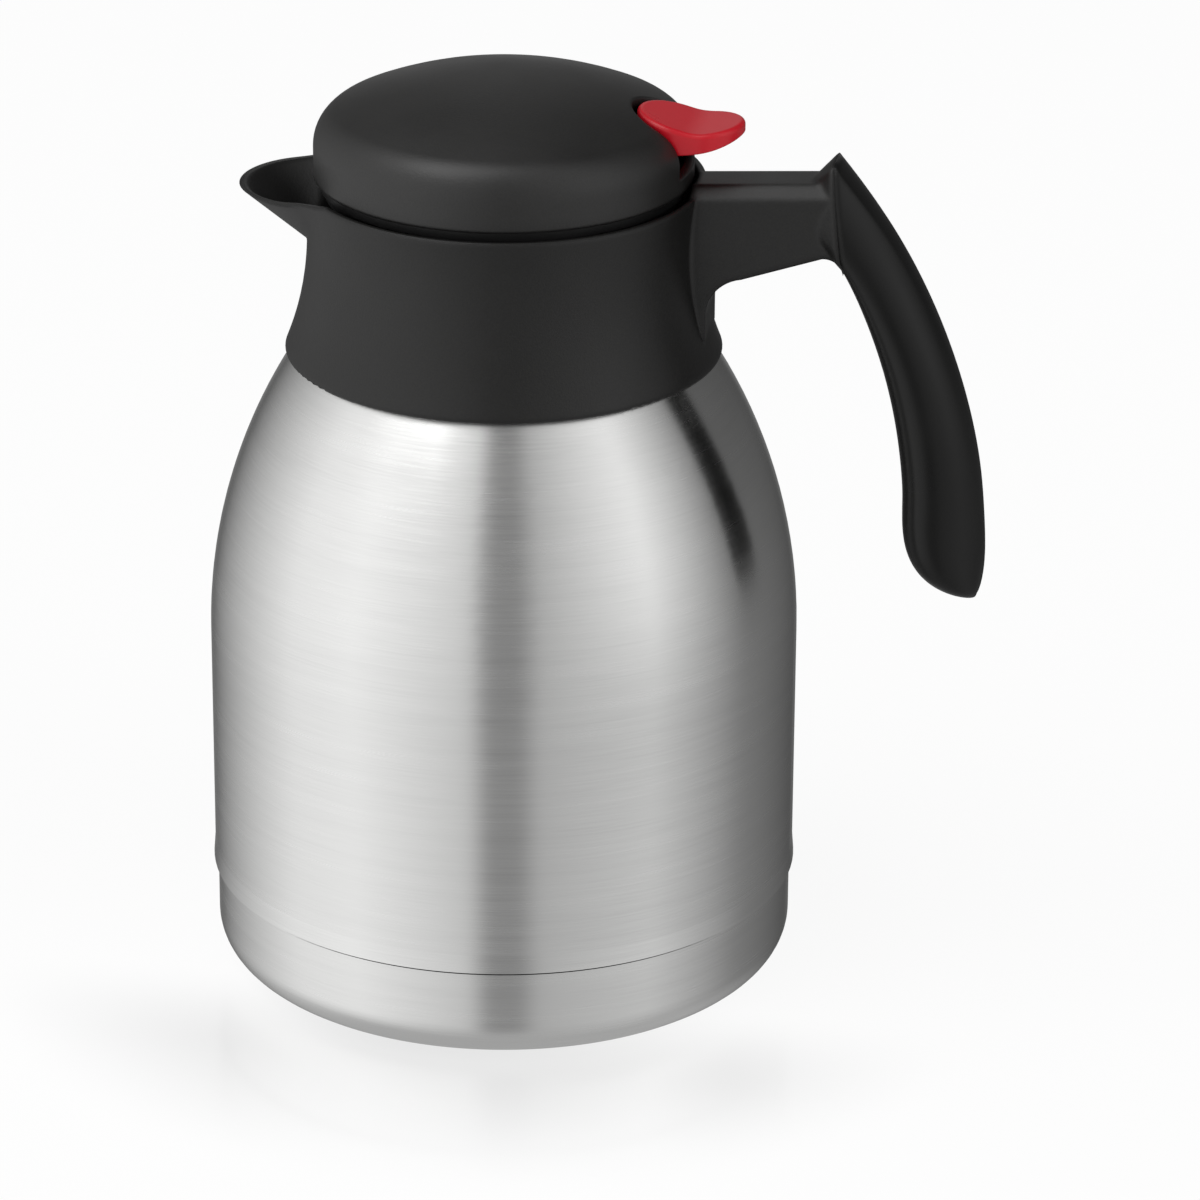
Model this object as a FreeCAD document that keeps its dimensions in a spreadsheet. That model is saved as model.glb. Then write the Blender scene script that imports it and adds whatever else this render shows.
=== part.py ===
import FreeCAD, Part, Sketcher
import math
import os

# Vacuum jug with a screw-in stopper: millimetres, +Z up, the axis of the vessel on Z,
# the base on z = 0, the handle towards +X and the spout towards -X.

DIMENSIONS = {
    # Steel vessel
    "shell_radius": 70.7,
    "steel_wall": 0.6,
    "seam_height": 24.3,
    "seam_groove": 0.8,
    "flare_width": 0.35,
    "flare_height": 4.5,
    "cylinder_top": 84.0,
    "neck_radius": 40.0,
    "neck_length": 9.7,
    "mouth_height": 177.6,
    "vacuum_gap": 5.6,
    "neck_gap": 1.4,
    "flask_floor": 18.0,
    "flask_corner": 14.0,
    "flask_taper": 10.0,
    "lip_height": 2.5,
    "lip_flare": 1.5,
    "weld_gap": 0.03,
    "cup_radius": 70.0,
    "cup_corner": 4.5,
    "cup_bead_inset": 15.5,
    "cup_bead_width": 10.0,
    "cup_bead_rise": 1.4,
    "cup_fit": 0.1,
    "spigot_foot": 11.0,
    "plate_wall": 0.8,
    "plate_flange": 6.0,
    "plate_corner": 3.0,
    "getter_radius": 6.0,
    "getter_height": 3.0,
    "getter_offset": 30.0,
    "getter_cup_depth": 1.0,
    "getter_cup_wall": 1.2,
    # Collar, spout and neck fittings
    "collar_waist": 46.3,
    "collar_waist_rise": 6.4,
    "collar_wall": 2.0,
    "collar_skirt": 22.7,
    "collar_foot_gap": 0.3,
    "collar_edge": 0.9,
    "rim_rise": 19.6,
    "rim_width": 1.4,
    "shelf_thickness": 2.4,
    "neck_seal_thickness": 1.0,
    "neck_socket_fit": 0.25,
    "neck_socket_wall": 2.0,
    "neck_socket_depth": 8.0,
    "ring_fit": 0.3,
    "ring_wall": 2.7,
    "ring_depth": 18.0,
    "ring_flange_radius": 43.0,
    "ring_flange": 2.0,
    "spout_offset": 44.2,
    "spout_radius": 18.9,
    "spout_drop": 3.9,
    "spout_slope": 1.128,
    "spout_depth": 16.0,
    "spout_lip": 1.6,
    "spout_blend_low": 1.5,
    "spout_blend_high": 9.0,
    "lip_rise_start": 9.0,
    "lip_rise_run": 17.2,
    # Arm and grip
    "arm_width": 16.0,
    "arm_root_rise": 2.5,
    "arm_end_rise": 4.7,
    "arm_root_drop": 19.0,
    "arm_root_reach": 57.6,
    "arm_under_arc": 9.9,
    "arm_under_run": 8.4,
    "arm_under_fall": 9.8,
    "arm_web_drop": 6.0,
    "arm_root_flare": 3.0,
    "arm_root_inset": 1.8,
    "arm_bevel": 3.0,
    "lid_clearance": 1.3,
    "head_length": 7.0,
    "head_low": 9.0,
    "head_height": 11.8,
    "head_width": 14.0,
    "grip_front_reach": 96.55,
    "grip_front_fall": 78.7,
    "grip_front_arc": 134.95,
    "grip_depth": 19.25,
    "grip_back_fall": 87.5,
    "grip_back_arc": 145.7,
    "grip_peak_rise": 10.1,
    "grip_peak_cut": 0.7,
    "grip_peak_half": 1.75,
    "grip_peak_round": 3.0,
    "grip_crotch_fall": 16.5,
    "grip_back_low_fall": 83.2,
    "grip_end_fall": 97.0,
    "grip_width": 21.0,
    "grip_corner": 6.0,
    "grip_spine_top": 11.0,
    "grip_spine_end": 2.0,
    "grip_tip_arc": 17.6,
    "grip_tip_tuck": 1.6,
    "crotch_run": 5.0,
    "crotch_rise": 3.8,
    "tang_width": 8.0,
    "tang_wall": 3.6,
    "tang_fall": 37.2,
    "tang_fit": 0.15,
    "grip_screw_radius": 1.6,
    "grip_screw_head": 3.2,
    "grip_screw_head_height": 1.6,
    "grip_screw_length": 8.5,
    "grip_screw_sink": 2.1,
    "grip_screw_upper_fall": 22.7,
    "grip_screw_lower_fall": 32.2,
    # Stopper
    "stopper_depth": 27.6,
    "stopper_floor_thickness": 2.5,
    "plug_clearance": 0.6,
    "plug_wall": 2.2,
    "plug_edge": 1.5,
    "seat_radius": 11.0,
    "seat_ring": 1.6,
    "seat_rise": 1.0,
    "stopper_seal_thickness": 1.2,
    "stopper_seal_fit": 0.3,
    "seat_flange_radius": 38.5,
    "seat_flange": 2.2,
    "top_flange_radius": 42.0,
    "top_flange": 2.4,
    "port_width": 26.0,
    "port_height": 6.0,
    "port_corner": 2.0,
    "port_margin": 0.6,
    "deck_inset": 1.3,
    "deck_thickness": 2.5,
    "deck_seal_width": 1.9,
    "deck_seal_depth": 1.2,
    "deck_seal_squeeze": 0.05,
    "screw_circle": 38.3,
    "screw_radius": 1.45,
    "screw_head_radius": 2.9,
    "screw_head_height": 1.9,
    "screw_length": 12.5,
    "screw_play": 0.05,
    "boss_radius": 3.2,
    "guide_radius": 6.5,
    "guide_depth": 6.0,
    "guide_rise": 1.6,
    "stem_seal_section": 0.8,
    "stem_seal_drop": 1.6,
    # Lid cover
    "lid_radius": 44.6,
    "lid_wall": 2.2,
    "lid_gap": 1.5,
    "lid_height": 23.8,
    "lid_crown_arc": 95.0,
    "lid_shoulder": 9.5,
    "slot_side_gap": 0.9,
    "slot_end_gap": 1.4,
    "slot_sill": 3.9,
    # Lever and its pin
    "lever_inner_reach": 31.6,
    "lever_tip_reach": 56.8,
    "lever_width": 19.6,
    "lever_valley_reach": 46.2,
    "lever_valley_drop": 3.9,
    "lever_tip_drop": 2.6,
    "lever_valley_arc": 14.0,
    "lever_tip_depth": 2.6,
    "lever_belly_reach": 42.5,
    "lever_belly_arc": 42.0,
    "lever_edge": 1.1,
    "lever_pivot_reach": 36.0,
    "lever_pivot_rise": 5.3,
    "lever_hub": 3.6,
    "lever_hub_gap": 0.6,
    "lever_web": 13.0,
    "lever_arm": 4.0,
    "fork_slot": 6.4,
    "fork_reach": 4.5,
    "pin_radius": 1.5,
    "pin_fit": 0.05,
    "ear_gap": 0.4,
    "ear_thickness": 2.2,
    "pin_end": 0.4,
    # Valve
    "stem_radius": 2.5,
    "stem_fit": 0.08,
    "stem_head_radius": 6.0,
    "stem_head": 2.0,
    "head_play": 0.3,
    "stem_socket": 6.0,
    "valve_radius": 14.0,
    "valve_disc": 2.6,
    "valve_hub_radius": 5.2,
    "valve_hub": 6.0,
    "valve_nose_radius": 8.0,
    "valve_nose": 3.5,
    "valve_seal_thickness": 1.4,
    "valve_seal_edge": 0.3,
    "spring_radius": 8.6,
    "spring_wire": 0.7,
    "spring_seat_gap": 0.05,
    # Length by which cutting bodies run past what they cut
    "cut_overrun": 5.0,
}

HALF_SHARE = 0.5
CROTCH_ARC_SHARE = 0.88
SPINE_CROWN_SHARE = 0.22
SPINE_SHARES = (1.0, 0.86, 0.62, 0.4, 0.22, 0.1)
BACK_SHARES = (0.0, 0.17, 0.4, 0.635, 0.845, 1.0)
FRONT_SHARES = (0.0, 0.14, 0.36, 0.59, 0.805, 1.0)
TIP_TURN_SHARES = (0.355, 0.645, 0.89)
TIP_BACK_SHARES = (0.52, 0.87, 1.0)
TIP_WIDTH_SHARES = (0.93, 0.68, 0.28)
TIP_TUCK_SHARES = (0.08, 0.45, 1.0)
SCREW_COUNT = 4
SPRING_TURNS = 7
BIARCS_PER_TURN = 4
GAP_MARKS = 36
FULL_TURN = 360.0
EDGE_MATCH = 1e-4


class Size:
    """A length together with the sheet expression that yields it."""

    def __init__(self, value, text):
        self.value = float(value)
        self.text = text

    def joined(self, other, sign, value):
        return Size(value, "(%s %s %s)" % (self.text, sign, other.text))

    def __add__(self, other):
        other = size_of(other)
        return self.joined(other, "+", self.value + other.value)

    def __sub__(self, other):
        other = size_of(other)
        return self.joined(other, "-", self.value - other.value)

    def __mul__(self, other):
        other = size_of(other)
        return self.joined(other, "*", self.value * other.value)

    def __truediv__(self, other):
        other = size_of(other)
        return self.joined(other, "/", self.value / other.value)

    def __neg__(self):
        return Size(-self.value, "(-%s)" % self.text)


def size_of(number):
    return number if isinstance(number, Size) else Size(number, "%.9g" % number)


def root(size):
    return Size(math.sqrt(size.value), "sqrt(%s)" % size.text)


def half(size):
    return size * HALF_SHARE


def least(first, second):
    return Size(min(first.value, second.value), "min(%s; %s)" % (first.text, second.text))


def heading(size):
    """Plus or minus one, by the sign of a size."""
    return Size(math.copysign(1, size.value), "(%s / abs(%s))" % (size.text, size.text))


class Sheet:
    """The driving dimensions as cells of a spreadsheet, read back by their aliases."""

    def __init__(self, document):
        cells = document.addObject("Spreadsheet::Sheet", "Sizes")
        for row, (name, value) in enumerate(DIMENSIONS.items(), start=1):
            cells.set("A%d" % row, name)
            cells.set("B%d" % row, str(value))
            cells.setAlias("B%d" % row, name)
        document.recompute()
        self.cells = cells

    def __getattr__(self, name):
        return Size(self.cells.get(name), "Sizes.%s" % name)


doc = FreeCAD.newDocument("jug")
dim = Sheet(doc)
zero = Size(0.0, "0")
overrun = dim.cut_overrun
nodes = []


# Sketching

def origin_plane(body, role):
    return next(item for item in body.Origin.OriginFeatures if item.Role == role)


def new_body(label):
    body = doc.addObject("PartDesign::Body", label)
    body.Label = label
    return body


def new_sketch(body, name, role="XZ_Plane", lift=None):
    """A sketch on one of the body's origin planes, lifted along the plane's normal."""
    sketch = body.newObject("Sketcher::SketchObject", name)
    sketch.AttachmentSupport = [(origin_plane(body, role), "")]
    sketch.MapMode = "FlatFace"
    if lift is not None:
        sketch.setExpression("AttachmentOffset.Base.z", lift.text)
    return sketch


def left(radius):
    return (radius, 1)


def right(radius):
    return (radius, -1)


def arc_between(start, end, radius, side):
    """The shorter arc from start to end, turning left (1) or right (-1)."""
    chord = end - start
    middle = (start + end) * HALF_SHARE
    reach = math.sqrt(max(radius ** 2 - (chord.Length * HALF_SHARE) ** 2, 0.0))
    normal = FreeCAD.Vector(-chord.y, chord.x, 0).normalize()
    centre = middle + normal * (reach * side)
    first, last = (start, end) if side > 0 else (end, start)
    angles = [math.atan2(p.y - centre.y, p.x - centre.x) for p in (first, last)]
    circle = Part.Circle(centre, FreeCAD.Vector(0, 0, 1), radius)
    return Part.ArcOfCircle(circle, angles[0], angles[1])


def fix_point(rules, geometry, position, corner):
    """Hold a point of the sketch at a corner given by two sizes."""
    for size, kind, axis in ((corner[0], "DistanceX", -2), (corner[1], "DistanceY", -1)):
        if size.text == zero.text:
            rules.append((Sketcher.Constraint("PointOnObject", geometry, position, axis), None))
        else:
            rule = Sketcher.Constraint(kind, -1, 1, geometry, position, size.value)
            rules.append((rule, size))


def apply_rules(sketch, rules):
    first = sketch.ConstraintCount
    sketch.addConstraint([rule for rule, size in rules])
    for index, (rule, size) in enumerate(rules, start=first):
        if size is not None:
            sketch.setExpression("Constraints[%d]" % index, size.text)


def outline(sketch, path):
    """A closed chain of corners (x, y); a third entry says which arc leads to the corner."""
    corners = [(size_of(step[0]), size_of(step[1])) for step in path]
    points = [FreeCAD.Vector(x.value, y.value, 0) for x, y in corners]
    first = sketch.GeometryCount
    edges, ends, rules = [], [], []
    for index, step in enumerate(path):
        if len(step) == 2:
            edges.append(Part.LineSegment(points[index - 1], points[index]))
            ends.append((1, 2))
        else:
            radius, side = step[2]
            edges.append(arc_between(points[index - 1], points[index], radius.value, side))
            ends.append((1, 2) if side > 0 else (2, 1))
            rules.append((Sketcher.Constraint("Radius", first + index, radius.value), radius))
    sketch.addGeometry(edges, False)
    for index, corner in enumerate(corners):
        follower = (index + 1) % len(path)
        joint = Sketcher.Constraint("Coincident", first + index, ends[index][1],
                                    first + follower, ends[follower][0])
        rules.append((joint, None))
        fix_point(rules, first + index, ends[index][1], corner)
    apply_rules(sketch, rules)


def ring(sketch, x, y, radius):
    """A circle of the given radius about a fixed centre."""
    centre = FreeCAD.Vector(x.value, y.value, 0)
    circle = Part.Circle(centre, FreeCAD.Vector(0, 0, 1), radius.value)
    index = sketch.addGeometry(circle, False)
    rules = [(Sketcher.Constraint("Radius", index, radius.value), radius)]
    fix_point(rules, index, 3, (x, y))
    apply_rules(sketch, rules)


# Features

def turn(body, sketch):
    feature = body.newObject("PartDesign::Revolution", sketch.Name + "_turn")
    feature.Profile = sketch
    feature.ReferenceAxis = (sketch, ["V_Axis"])
    feature.Angle = FULL_TURN
    return feature


def turned(label, path):
    """A body turned about the vessel's axis from one section."""
    body = new_body(label)
    sketch = new_sketch(body, label + "_section")
    outline(sketch, path)
    turn(body, sketch)
    return body


def extrude(body, kind, sketch, length, symmetric=False):
    feature = body.newObject("PartDesign::" + kind, sketch.Name + "_" + kind.lower())
    feature.Profile = sketch
    feature.setExpression("Length", length.text)
    if symmetric:
        feature.SideType = "Symmetric"
    return feature


def slab(label, path, width):
    """A body padded evenly to both sides of the jug's mirror plane."""
    body = new_body(label)
    sketch = new_sketch(body, label + "_side")
    outline(sketch, path)
    extrude(body, "Pad", sketch, width, symmetric=True)
    return body


def around_axis(body, feature, count):
    """Repeat a feature evenly about the body's vertical axis."""
    axis = next(item for item in body.Origin.OriginFeatures if item.Role == "Z_Axis")
    pattern = body.newObject("PartDesign::PolarPattern", feature.Name + "_pattern")
    pattern.Originals = [feature]
    pattern.Axis = (axis, [""])
    pattern.Angle = FULL_TURN
    pattern.Occurrences = count
    body.Tip = pattern
    return pattern


def joined(label, kind, base, tool):
    feature = doc.addObject("Part::" + kind, label)
    feature.Base = base
    feature.Tool = tool
    feature.Label = label
    return feature


def node(piece):
    nodes.append(piece)
    return piece


# Heights and radii that several pieces share

def arc_rise(radius, inset):
    """Height climbed by an upright arc while it leans in by an inset."""
    return root(radius * radius - (radius - inset) * (radius - inset))


def shoulder_radius(height):
    """Radius of the steel shoulder at a height."""
    away = height - dim.cylinder_top
    return dim.shell_radius - shoulder_arc + root(shoulder_arc * shoulder_arc - away * away)


def bow(run, rise):
    """Radius of the arc that leaves a straight wall, leaning out by a run over a rise."""
    return (run * run + rise * rise) / (run * 2)


def collar_radius(height, inset):
    """Radius of the collar's waisted wall at a height, inset from its outer face."""
    arc = collar_arc + inset
    away = height - waist_height
    return dim.collar_waist - inset + arc - root(arc * arc - away * away)


def back_point(height):
    arc = dim.grip_back_arc
    away = height - grip_back_level
    reach = dim.grip_front_reach + dim.grip_depth
    return (reach - arc + root(arc * arc - away * away), height)


def front_point(height):
    arc = dim.grip_front_arc
    away = height - grip_front_level
    return (dim.grip_front_reach - arc + root(arc * arc - away * away), height)


def arm_end(height):
    """Point of the slanted face where arm and grip meet."""
    low, high = front_point(grip_crotch), back_point(grip_top)
    lean = (high[0] - low[0]) / (high[1] - low[1])
    return (low[0] + (height - low[1]) * lean, height)


wall = dim.steel_wall
neck_foot = dim.mouth_height - dim.neck_length
shoulder_lean = dim.shell_radius - dim.neck_radius
shoulder_arc = bow(shoulder_lean, neck_foot - dim.cylinder_top)
rim_height = dim.mouth_height + dim.rim_rise
waist_height = dim.mouth_height + dim.collar_waist_rise
collar_foot = dim.mouth_height - dim.collar_skirt
skirt_inner = shoulder_radius(collar_foot) + dim.collar_foot_gap
skirt_flare = skirt_inner - dim.collar_waist + dim.collar_wall
collar_arc = bow(skirt_flare, waist_height - collar_foot) - dim.collar_wall
grip_front_level = rim_height - dim.grip_front_fall
grip_back_level = rim_height - dim.grip_back_fall
grip_back_low = rim_height - dim.grip_back_low_fall
grip_top = rim_height + dim.grip_peak_rise
grip_crotch = rim_height - dim.grip_crotch_fall
grip_end = rim_height - dim.grip_end_fall
stopper_floor = dim.mouth_height - dim.stopper_depth
spigot_radius = dim.cup_radius - wall - dim.cup_fit
flask_inset = wall + dim.vacuum_gap
neck_inner = dim.neck_radius - wall
flask_neck = neck_inner - dim.neck_gap
flask_bore = flask_neck - wall
shelf_low = dim.mouth_height + dim.neck_seal_thickness
shelf_top = shelf_low + dim.shelf_thickness
ring_outer = flask_bore - dim.ring_fit
ring_bore = ring_outer - dim.ring_wall
ring_top = shelf_top + dim.ring_flange
plug_radius = ring_bore - dim.plug_clearance
chamber_radius = plug_radius - dim.plug_wall
seat_flange_low = ring_top + dim.stopper_seal_thickness
seat_flange_top = seat_flange_low + dim.seat_flange
lid_edge = rim_height + dim.lid_gap
deck_low = lid_edge - dim.deck_thickness
deck_radius = dim.lid_radius - dim.deck_inset
top_flange_low = deck_low - dim.top_flange
lid_apex = lid_edge + dim.lid_height
lid_centre = lid_apex - dim.lid_crown_arc
pivot_height = lid_edge + dim.lever_pivot_rise
lever_half = half(dim.lever_width)
seat_top = stopper_floor + dim.stopper_floor_thickness + dim.seat_rise
valve_low = seat_top + dim.valve_seal_thickness
valve_top = valve_low + dim.valve_disc
head_low = pivot_height + half(dim.lever_arm) + dim.head_play
lip_height = rim_height - dim.spout_drop
groove_inner = plug_radius + dim.deck_seal_squeeze


# Steel vessel

def outer_shell():
    """Outer wall from the spigot inside the base cup to the welded mouth."""
    radius, flared = dim.shell_radius, dim.shell_radius + dim.flare_width
    neck_foot_in = dim.cylinder_top + arc_rise(shoulder_arc - wall, shoulder_lean)
    straight = dim.seam_height + dim.flare_height
    outward = heading(flared - spigot_radius)
    ledge = dim.seam_height + half(wall - wall * outward)
    ledge_in = dim.seam_height + half(wall + wall * outward)
    return turned("outer_shell", [
        (spigot_radius, dim.spigot_foot),
        (spigot_radius, ledge),
        (flared, ledge),
        (radius, straight),
        (radius, dim.cylinder_top),
        (dim.neck_radius, neck_foot, left(shoulder_arc)),
        (dim.neck_radius, dim.mouth_height),
        (neck_inner, dim.mouth_height),
        (neck_inner, neck_foot_in),
        (radius - wall, dim.cylinder_top, right(shoulder_arc - wall)),
        (radius - wall, straight),
        (flared - wall, ledge_in),
        (spigot_radius - wall, ledge_in),
        (spigot_radius - wall, dim.spigot_foot),
    ])


def inner_flask():
    """Inner vessel, kept off the outer wall by the vacuum and welded to it at the lip."""
    radius = dim.shell_radius - flask_inset
    foot_radius = least(spigot_radius, dim.shell_radius) - flask_inset
    arc = shoulder_arc - flask_inset
    lean = radius - flask_neck
    flask_neck_foot = dim.cylinder_top + arc_rise(arc, lean)
    neck_foot_in = dim.cylinder_top + arc_rise(arc - wall, lean)
    corner, floor = dim.flask_corner, dim.flask_floor
    taper_top = floor + corner + dim.flask_taper
    lip_foot = dim.mouth_height - dim.lip_height
    flare_foot = lip_foot - dim.lip_flare
    lip_radius = neck_inner - dim.weld_gap
    return turned("inner_flask", [
        (zero, floor),
        (foot_radius - corner, floor),
        (foot_radius, floor + corner, left(corner)),
        (radius, taper_top),
        (radius, dim.cylinder_top),
        (flask_neck, flask_neck_foot, left(arc)),
        (flask_neck, flare_foot),
        (lip_radius, lip_foot),
        (lip_radius, dim.mouth_height),
        (flask_bore, dim.mouth_height),
        (flask_bore, neck_foot_in),
        (radius - wall, dim.cylinder_top, right(arc - wall)),
        (radius - wall, taper_top),
        (foot_radius - wall, floor + corner),
        (foot_radius - corner, floor + wall, right(corner - wall)),
        (zero, floor + wall),
    ])


def shell_bottom():
    """Dished plate pressed into the spigot to close the vacuum."""
    radius = spigot_radius - wall - dim.weld_gap
    foot, top = dim.spigot_foot, dim.spigot_foot + dim.plate_flange
    corner, sheet = dim.plate_corner, dim.plate_wall
    return turned("shell_bottom", [
        (zero, foot),
        (radius - corner, foot),
        (radius, foot + corner, left(corner)),
        (radius, top),
        (radius - sheet, top),
        (radius - sheet, foot + corner),
        (radius - corner, foot + sheet, right(corner - sheet)),
        (zero, foot + sheet),
    ])


def getter_capsule():
    """Small open cup of getter on the closing plate."""
    radius, height = dim.getter_radius, dim.getter_height
    body = turned("getter_capsule", [
        (zero, zero),
        (radius, zero),
        (radius, height),
        (radius - dim.getter_cup_wall, height),
        (radius - dim.getter_cup_wall, height - dim.getter_cup_depth),
        (zero, height - dim.getter_cup_depth),
    ])
    body.setExpression("Placement.Base.x", (-dim.getter_offset).text)
    body.setExpression("Placement.Base.z", (dim.spigot_foot + dim.plate_wall).text)
    return body


def base_cup():
    """Cup over the spigot: rounded corner and a pressed bead in the flat foot."""
    radius, corner = dim.cup_radius, dim.cup_corner
    top = dim.seam_height - dim.seam_groove
    outer, rise = radius - corner - dim.cup_bead_inset, dim.cup_bead_rise
    inner = outer - dim.cup_bead_width
    return turned("base_cup", [
        (zero, zero),
        (inner, zero),
        (inner + rise, rise),
        (outer - rise, rise),
        (outer, zero),
        (radius - corner, zero),
        (radius, corner, left(corner)),
        (radius, top),
        (radius - wall, top),
        (radius - wall, corner),
        (radius - corner, wall, right(corner - wall)),
        (outer, wall),
        (outer - rise, rise + wall),
        (inner + rise, rise + wall),
        (inner, wall),
        (zero, wall),
    ])


# Screws of the grip

def screw_seat(height):
    """Place of a screw's seat under the finger face, in the plane of the sketch."""
    spot = front_point(height)
    slope = math.atan2(height.value - grip_front_level.value,
                       spot[0].value - dim.grip_front_reach.value + dim.grip_front_arc.value)
    inward = FreeCAD.Vector(math.cos(slope), math.sin(slope), 0)
    seat = FreeCAD.Vector(spot[0].value, height.value, 0) + inward * dim.grip_screw_sink.value
    turn_back = math.degrees(slope) - FULL_TURN / 4
    return FreeCAD.Placement(seat, FreeCAD.Rotation(FreeCAD.Vector(0, 0, 1), turn_back))


def screw_pair(label, play, head_height):
    """Two screws, or the room for them, driven from the finger side into the arm's tang."""
    shank, head = dim.grip_screw_radius + play, dim.grip_screw_head + play
    length = dim.grip_screw_length + play
    body = new_body(label)
    body.AllowCompound = True
    for name, fall in (("_upper", dim.grip_screw_upper_fall), ("_lower", dim.grip_screw_lower_fall)):
        sketch = new_sketch(body, label + name)
        outline(sketch, [
            (zero, -head_height),
            (head, -head_height),
            (head, zero),
            (shank, zero),
            (shank, length),
            (zero, length),
        ])
        sketch.AttachmentOffset = screw_seat(rim_height - fall)
        turn(body, sketch)
    return body


# Collar with spout and arm

def edges_on_both(shape, first, second):
    """Numbers of the edges that lie on both of two solids' skins."""
    found = []
    for number, edge in enumerate(shape.Edges, start=1):
        spot = Part.Vertex(edge.valueAt((edge.FirstParameter + edge.LastParameter) * HALF_SHARE))
        gaps = [max(spot.distToShape(shell)[0] for shell in solid.Shells) for solid in (first, second)]
        if max(gaps) < EDGE_MATCH:
            found.append(number)
    return found


def spouted(name, block, foot, lip_inset, blend_inset):
    """A turned block with the spout's cone joined to it by a blend that widens upwards."""
    cone = doc.addObject("Part::Cone", name + "_cone")
    top_radius = dim.spout_radius + dim.spout_drop * dim.spout_slope - lip_inset
    depth = rim_height - foot
    cone.setExpression("Radius2", top_radius.text)
    cone.setExpression("Radius1", (top_radius - depth * dim.spout_slope).text)
    cone.setExpression("Height", depth.text)
    cone.setExpression("Placement.Base.x", (-dim.spout_offset).text)
    cone.setExpression("Placement.Base.z", foot.text)
    cone.Placement.Rotation = FreeCAD.Rotation(FreeCAD.Vector(0, 0, 1), FULL_TURN * HALF_SHARE)
    union = joined(name + "_union", "Fuse", block, cone)
    side = doc.addObject("Part::Box", name + "_side")
    side.setExpression("Length", (dim.shell_radius * 2).text)
    side.setExpression("Width", dim.shell_radius.text)
    side.setExpression("Height", rim_height.text)
    side.setExpression("Placement.Base.x", (-dim.shell_radius).text)
    one_side = joined(name + "_one_side", "Common", union, side)
    doc.recompute()
    low = (dim.spout_blend_low + blend_inset).value
    high = (dim.spout_blend_high + blend_inset).value
    blends = []
    for number in edges_on_both(one_side.Shape, block.Shape, cone.Shape):
        edge = one_side.Shape.Edges[number - 1]
        rise = edge.valueAt(edge.LastParameter).z - edge.valueAt(edge.FirstParameter).z
        if abs(rise) > EDGE_MATCH:
            blends.append((number, low if rise > 0 else high, high if rise > 0 else low))
    blend = doc.addObject("Part::Fillet", name + "_blend")
    blend.Base = one_side
    blend.Edges = blends
    other = doc.addObject("Part::Mirroring", name + "_other_side")
    other.Source = blend
    other.Normal = FreeCAD.Vector(0, 1, 0)
    whole = joined(name, "Fuse", blend, other)
    whole.Refine = True
    return whole


def collar_block():
    """The collar's waisted outside as a solid of revolution."""
    foot, edge, rim = collar_foot, dim.collar_edge, rim_height
    edge_radius = collar_radius(foot + edge, zero)
    return turned("collar_block", [
        (zero, foot),
        (edge_radius - edge, foot),
        (edge_radius, foot + edge, left(edge)),
        (collar_radius(rim, zero), rim, right(collar_arc)),
        (zero, rim),
    ])


def collar_room():
    """Room above the shelf for the stopper."""
    rim_inner = collar_radius(rim_height, zero) - dim.rim_width
    return turned("collar_room", [
        (zero, shelf_top),
        (collar_radius(shelf_top, dim.collar_wall), shelf_top),
        (rim_inner, rim_height, right(collar_arc + dim.collar_wall)),
        (zero, rim_height),
    ])


def neck_room():
    """Room under the shelf for the steel shoulder, with the socket that grips the neck."""
    socket_in = dim.neck_radius + dim.neck_socket_fit
    socket_out = socket_in + dim.neck_socket_wall
    socket_foot = shelf_low - dim.neck_socket_depth
    foot = collar_foot - dim.collar_edge
    inset = dim.collar_wall
    hole = ring_outer + dim.ring_fit
    return turned("neck_room", [
        (zero, foot),
        (collar_radius(foot, inset), foot),
        (collar_radius(shelf_low, inset), shelf_low, right(collar_arc + inset)),
        (socket_out, shelf_low),
        (socket_out, socket_foot),
        (socket_in, socket_foot),
        (socket_in, shelf_low),
        (hole, shelf_low),
        (hole, shelf_top + overrun),
        (zero, shelf_top + overrun),
    ])


def lid_room():
    """Gap that the arm leaves around the lid above the rim."""
    radius = dim.lid_radius + dim.lid_clearance
    return turned("lid_room", [
        (zero, rim_height),
        (radius, rim_height),
        (radius, lid_edge + overrun),
        (zero, lid_edge + overrun),
    ])


def lip_trim():
    """What is cut off above the spout, so that its lip dips below the rim."""
    rise_start = -dim.spout_offset - dim.lip_rise_start
    run, rise = dim.lip_rise_run, dim.spout_drop
    sweep = (run * run + rise * rise) / (rise * 2)
    far = -(dim.spout_offset + dim.spout_radius + overrun)
    width = (dim.spout_radius + dim.spout_blend_high + overrun) * 2
    return slab("lip_trim", [
        (far, lip_height),
        (rise_start, lip_height),
        (rise_start + run, rim_height, left(sweep)),
        (rise_start + run * 2, rim_height + overrun),
        (far, rim_height + overrun),
    ], width)


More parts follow.
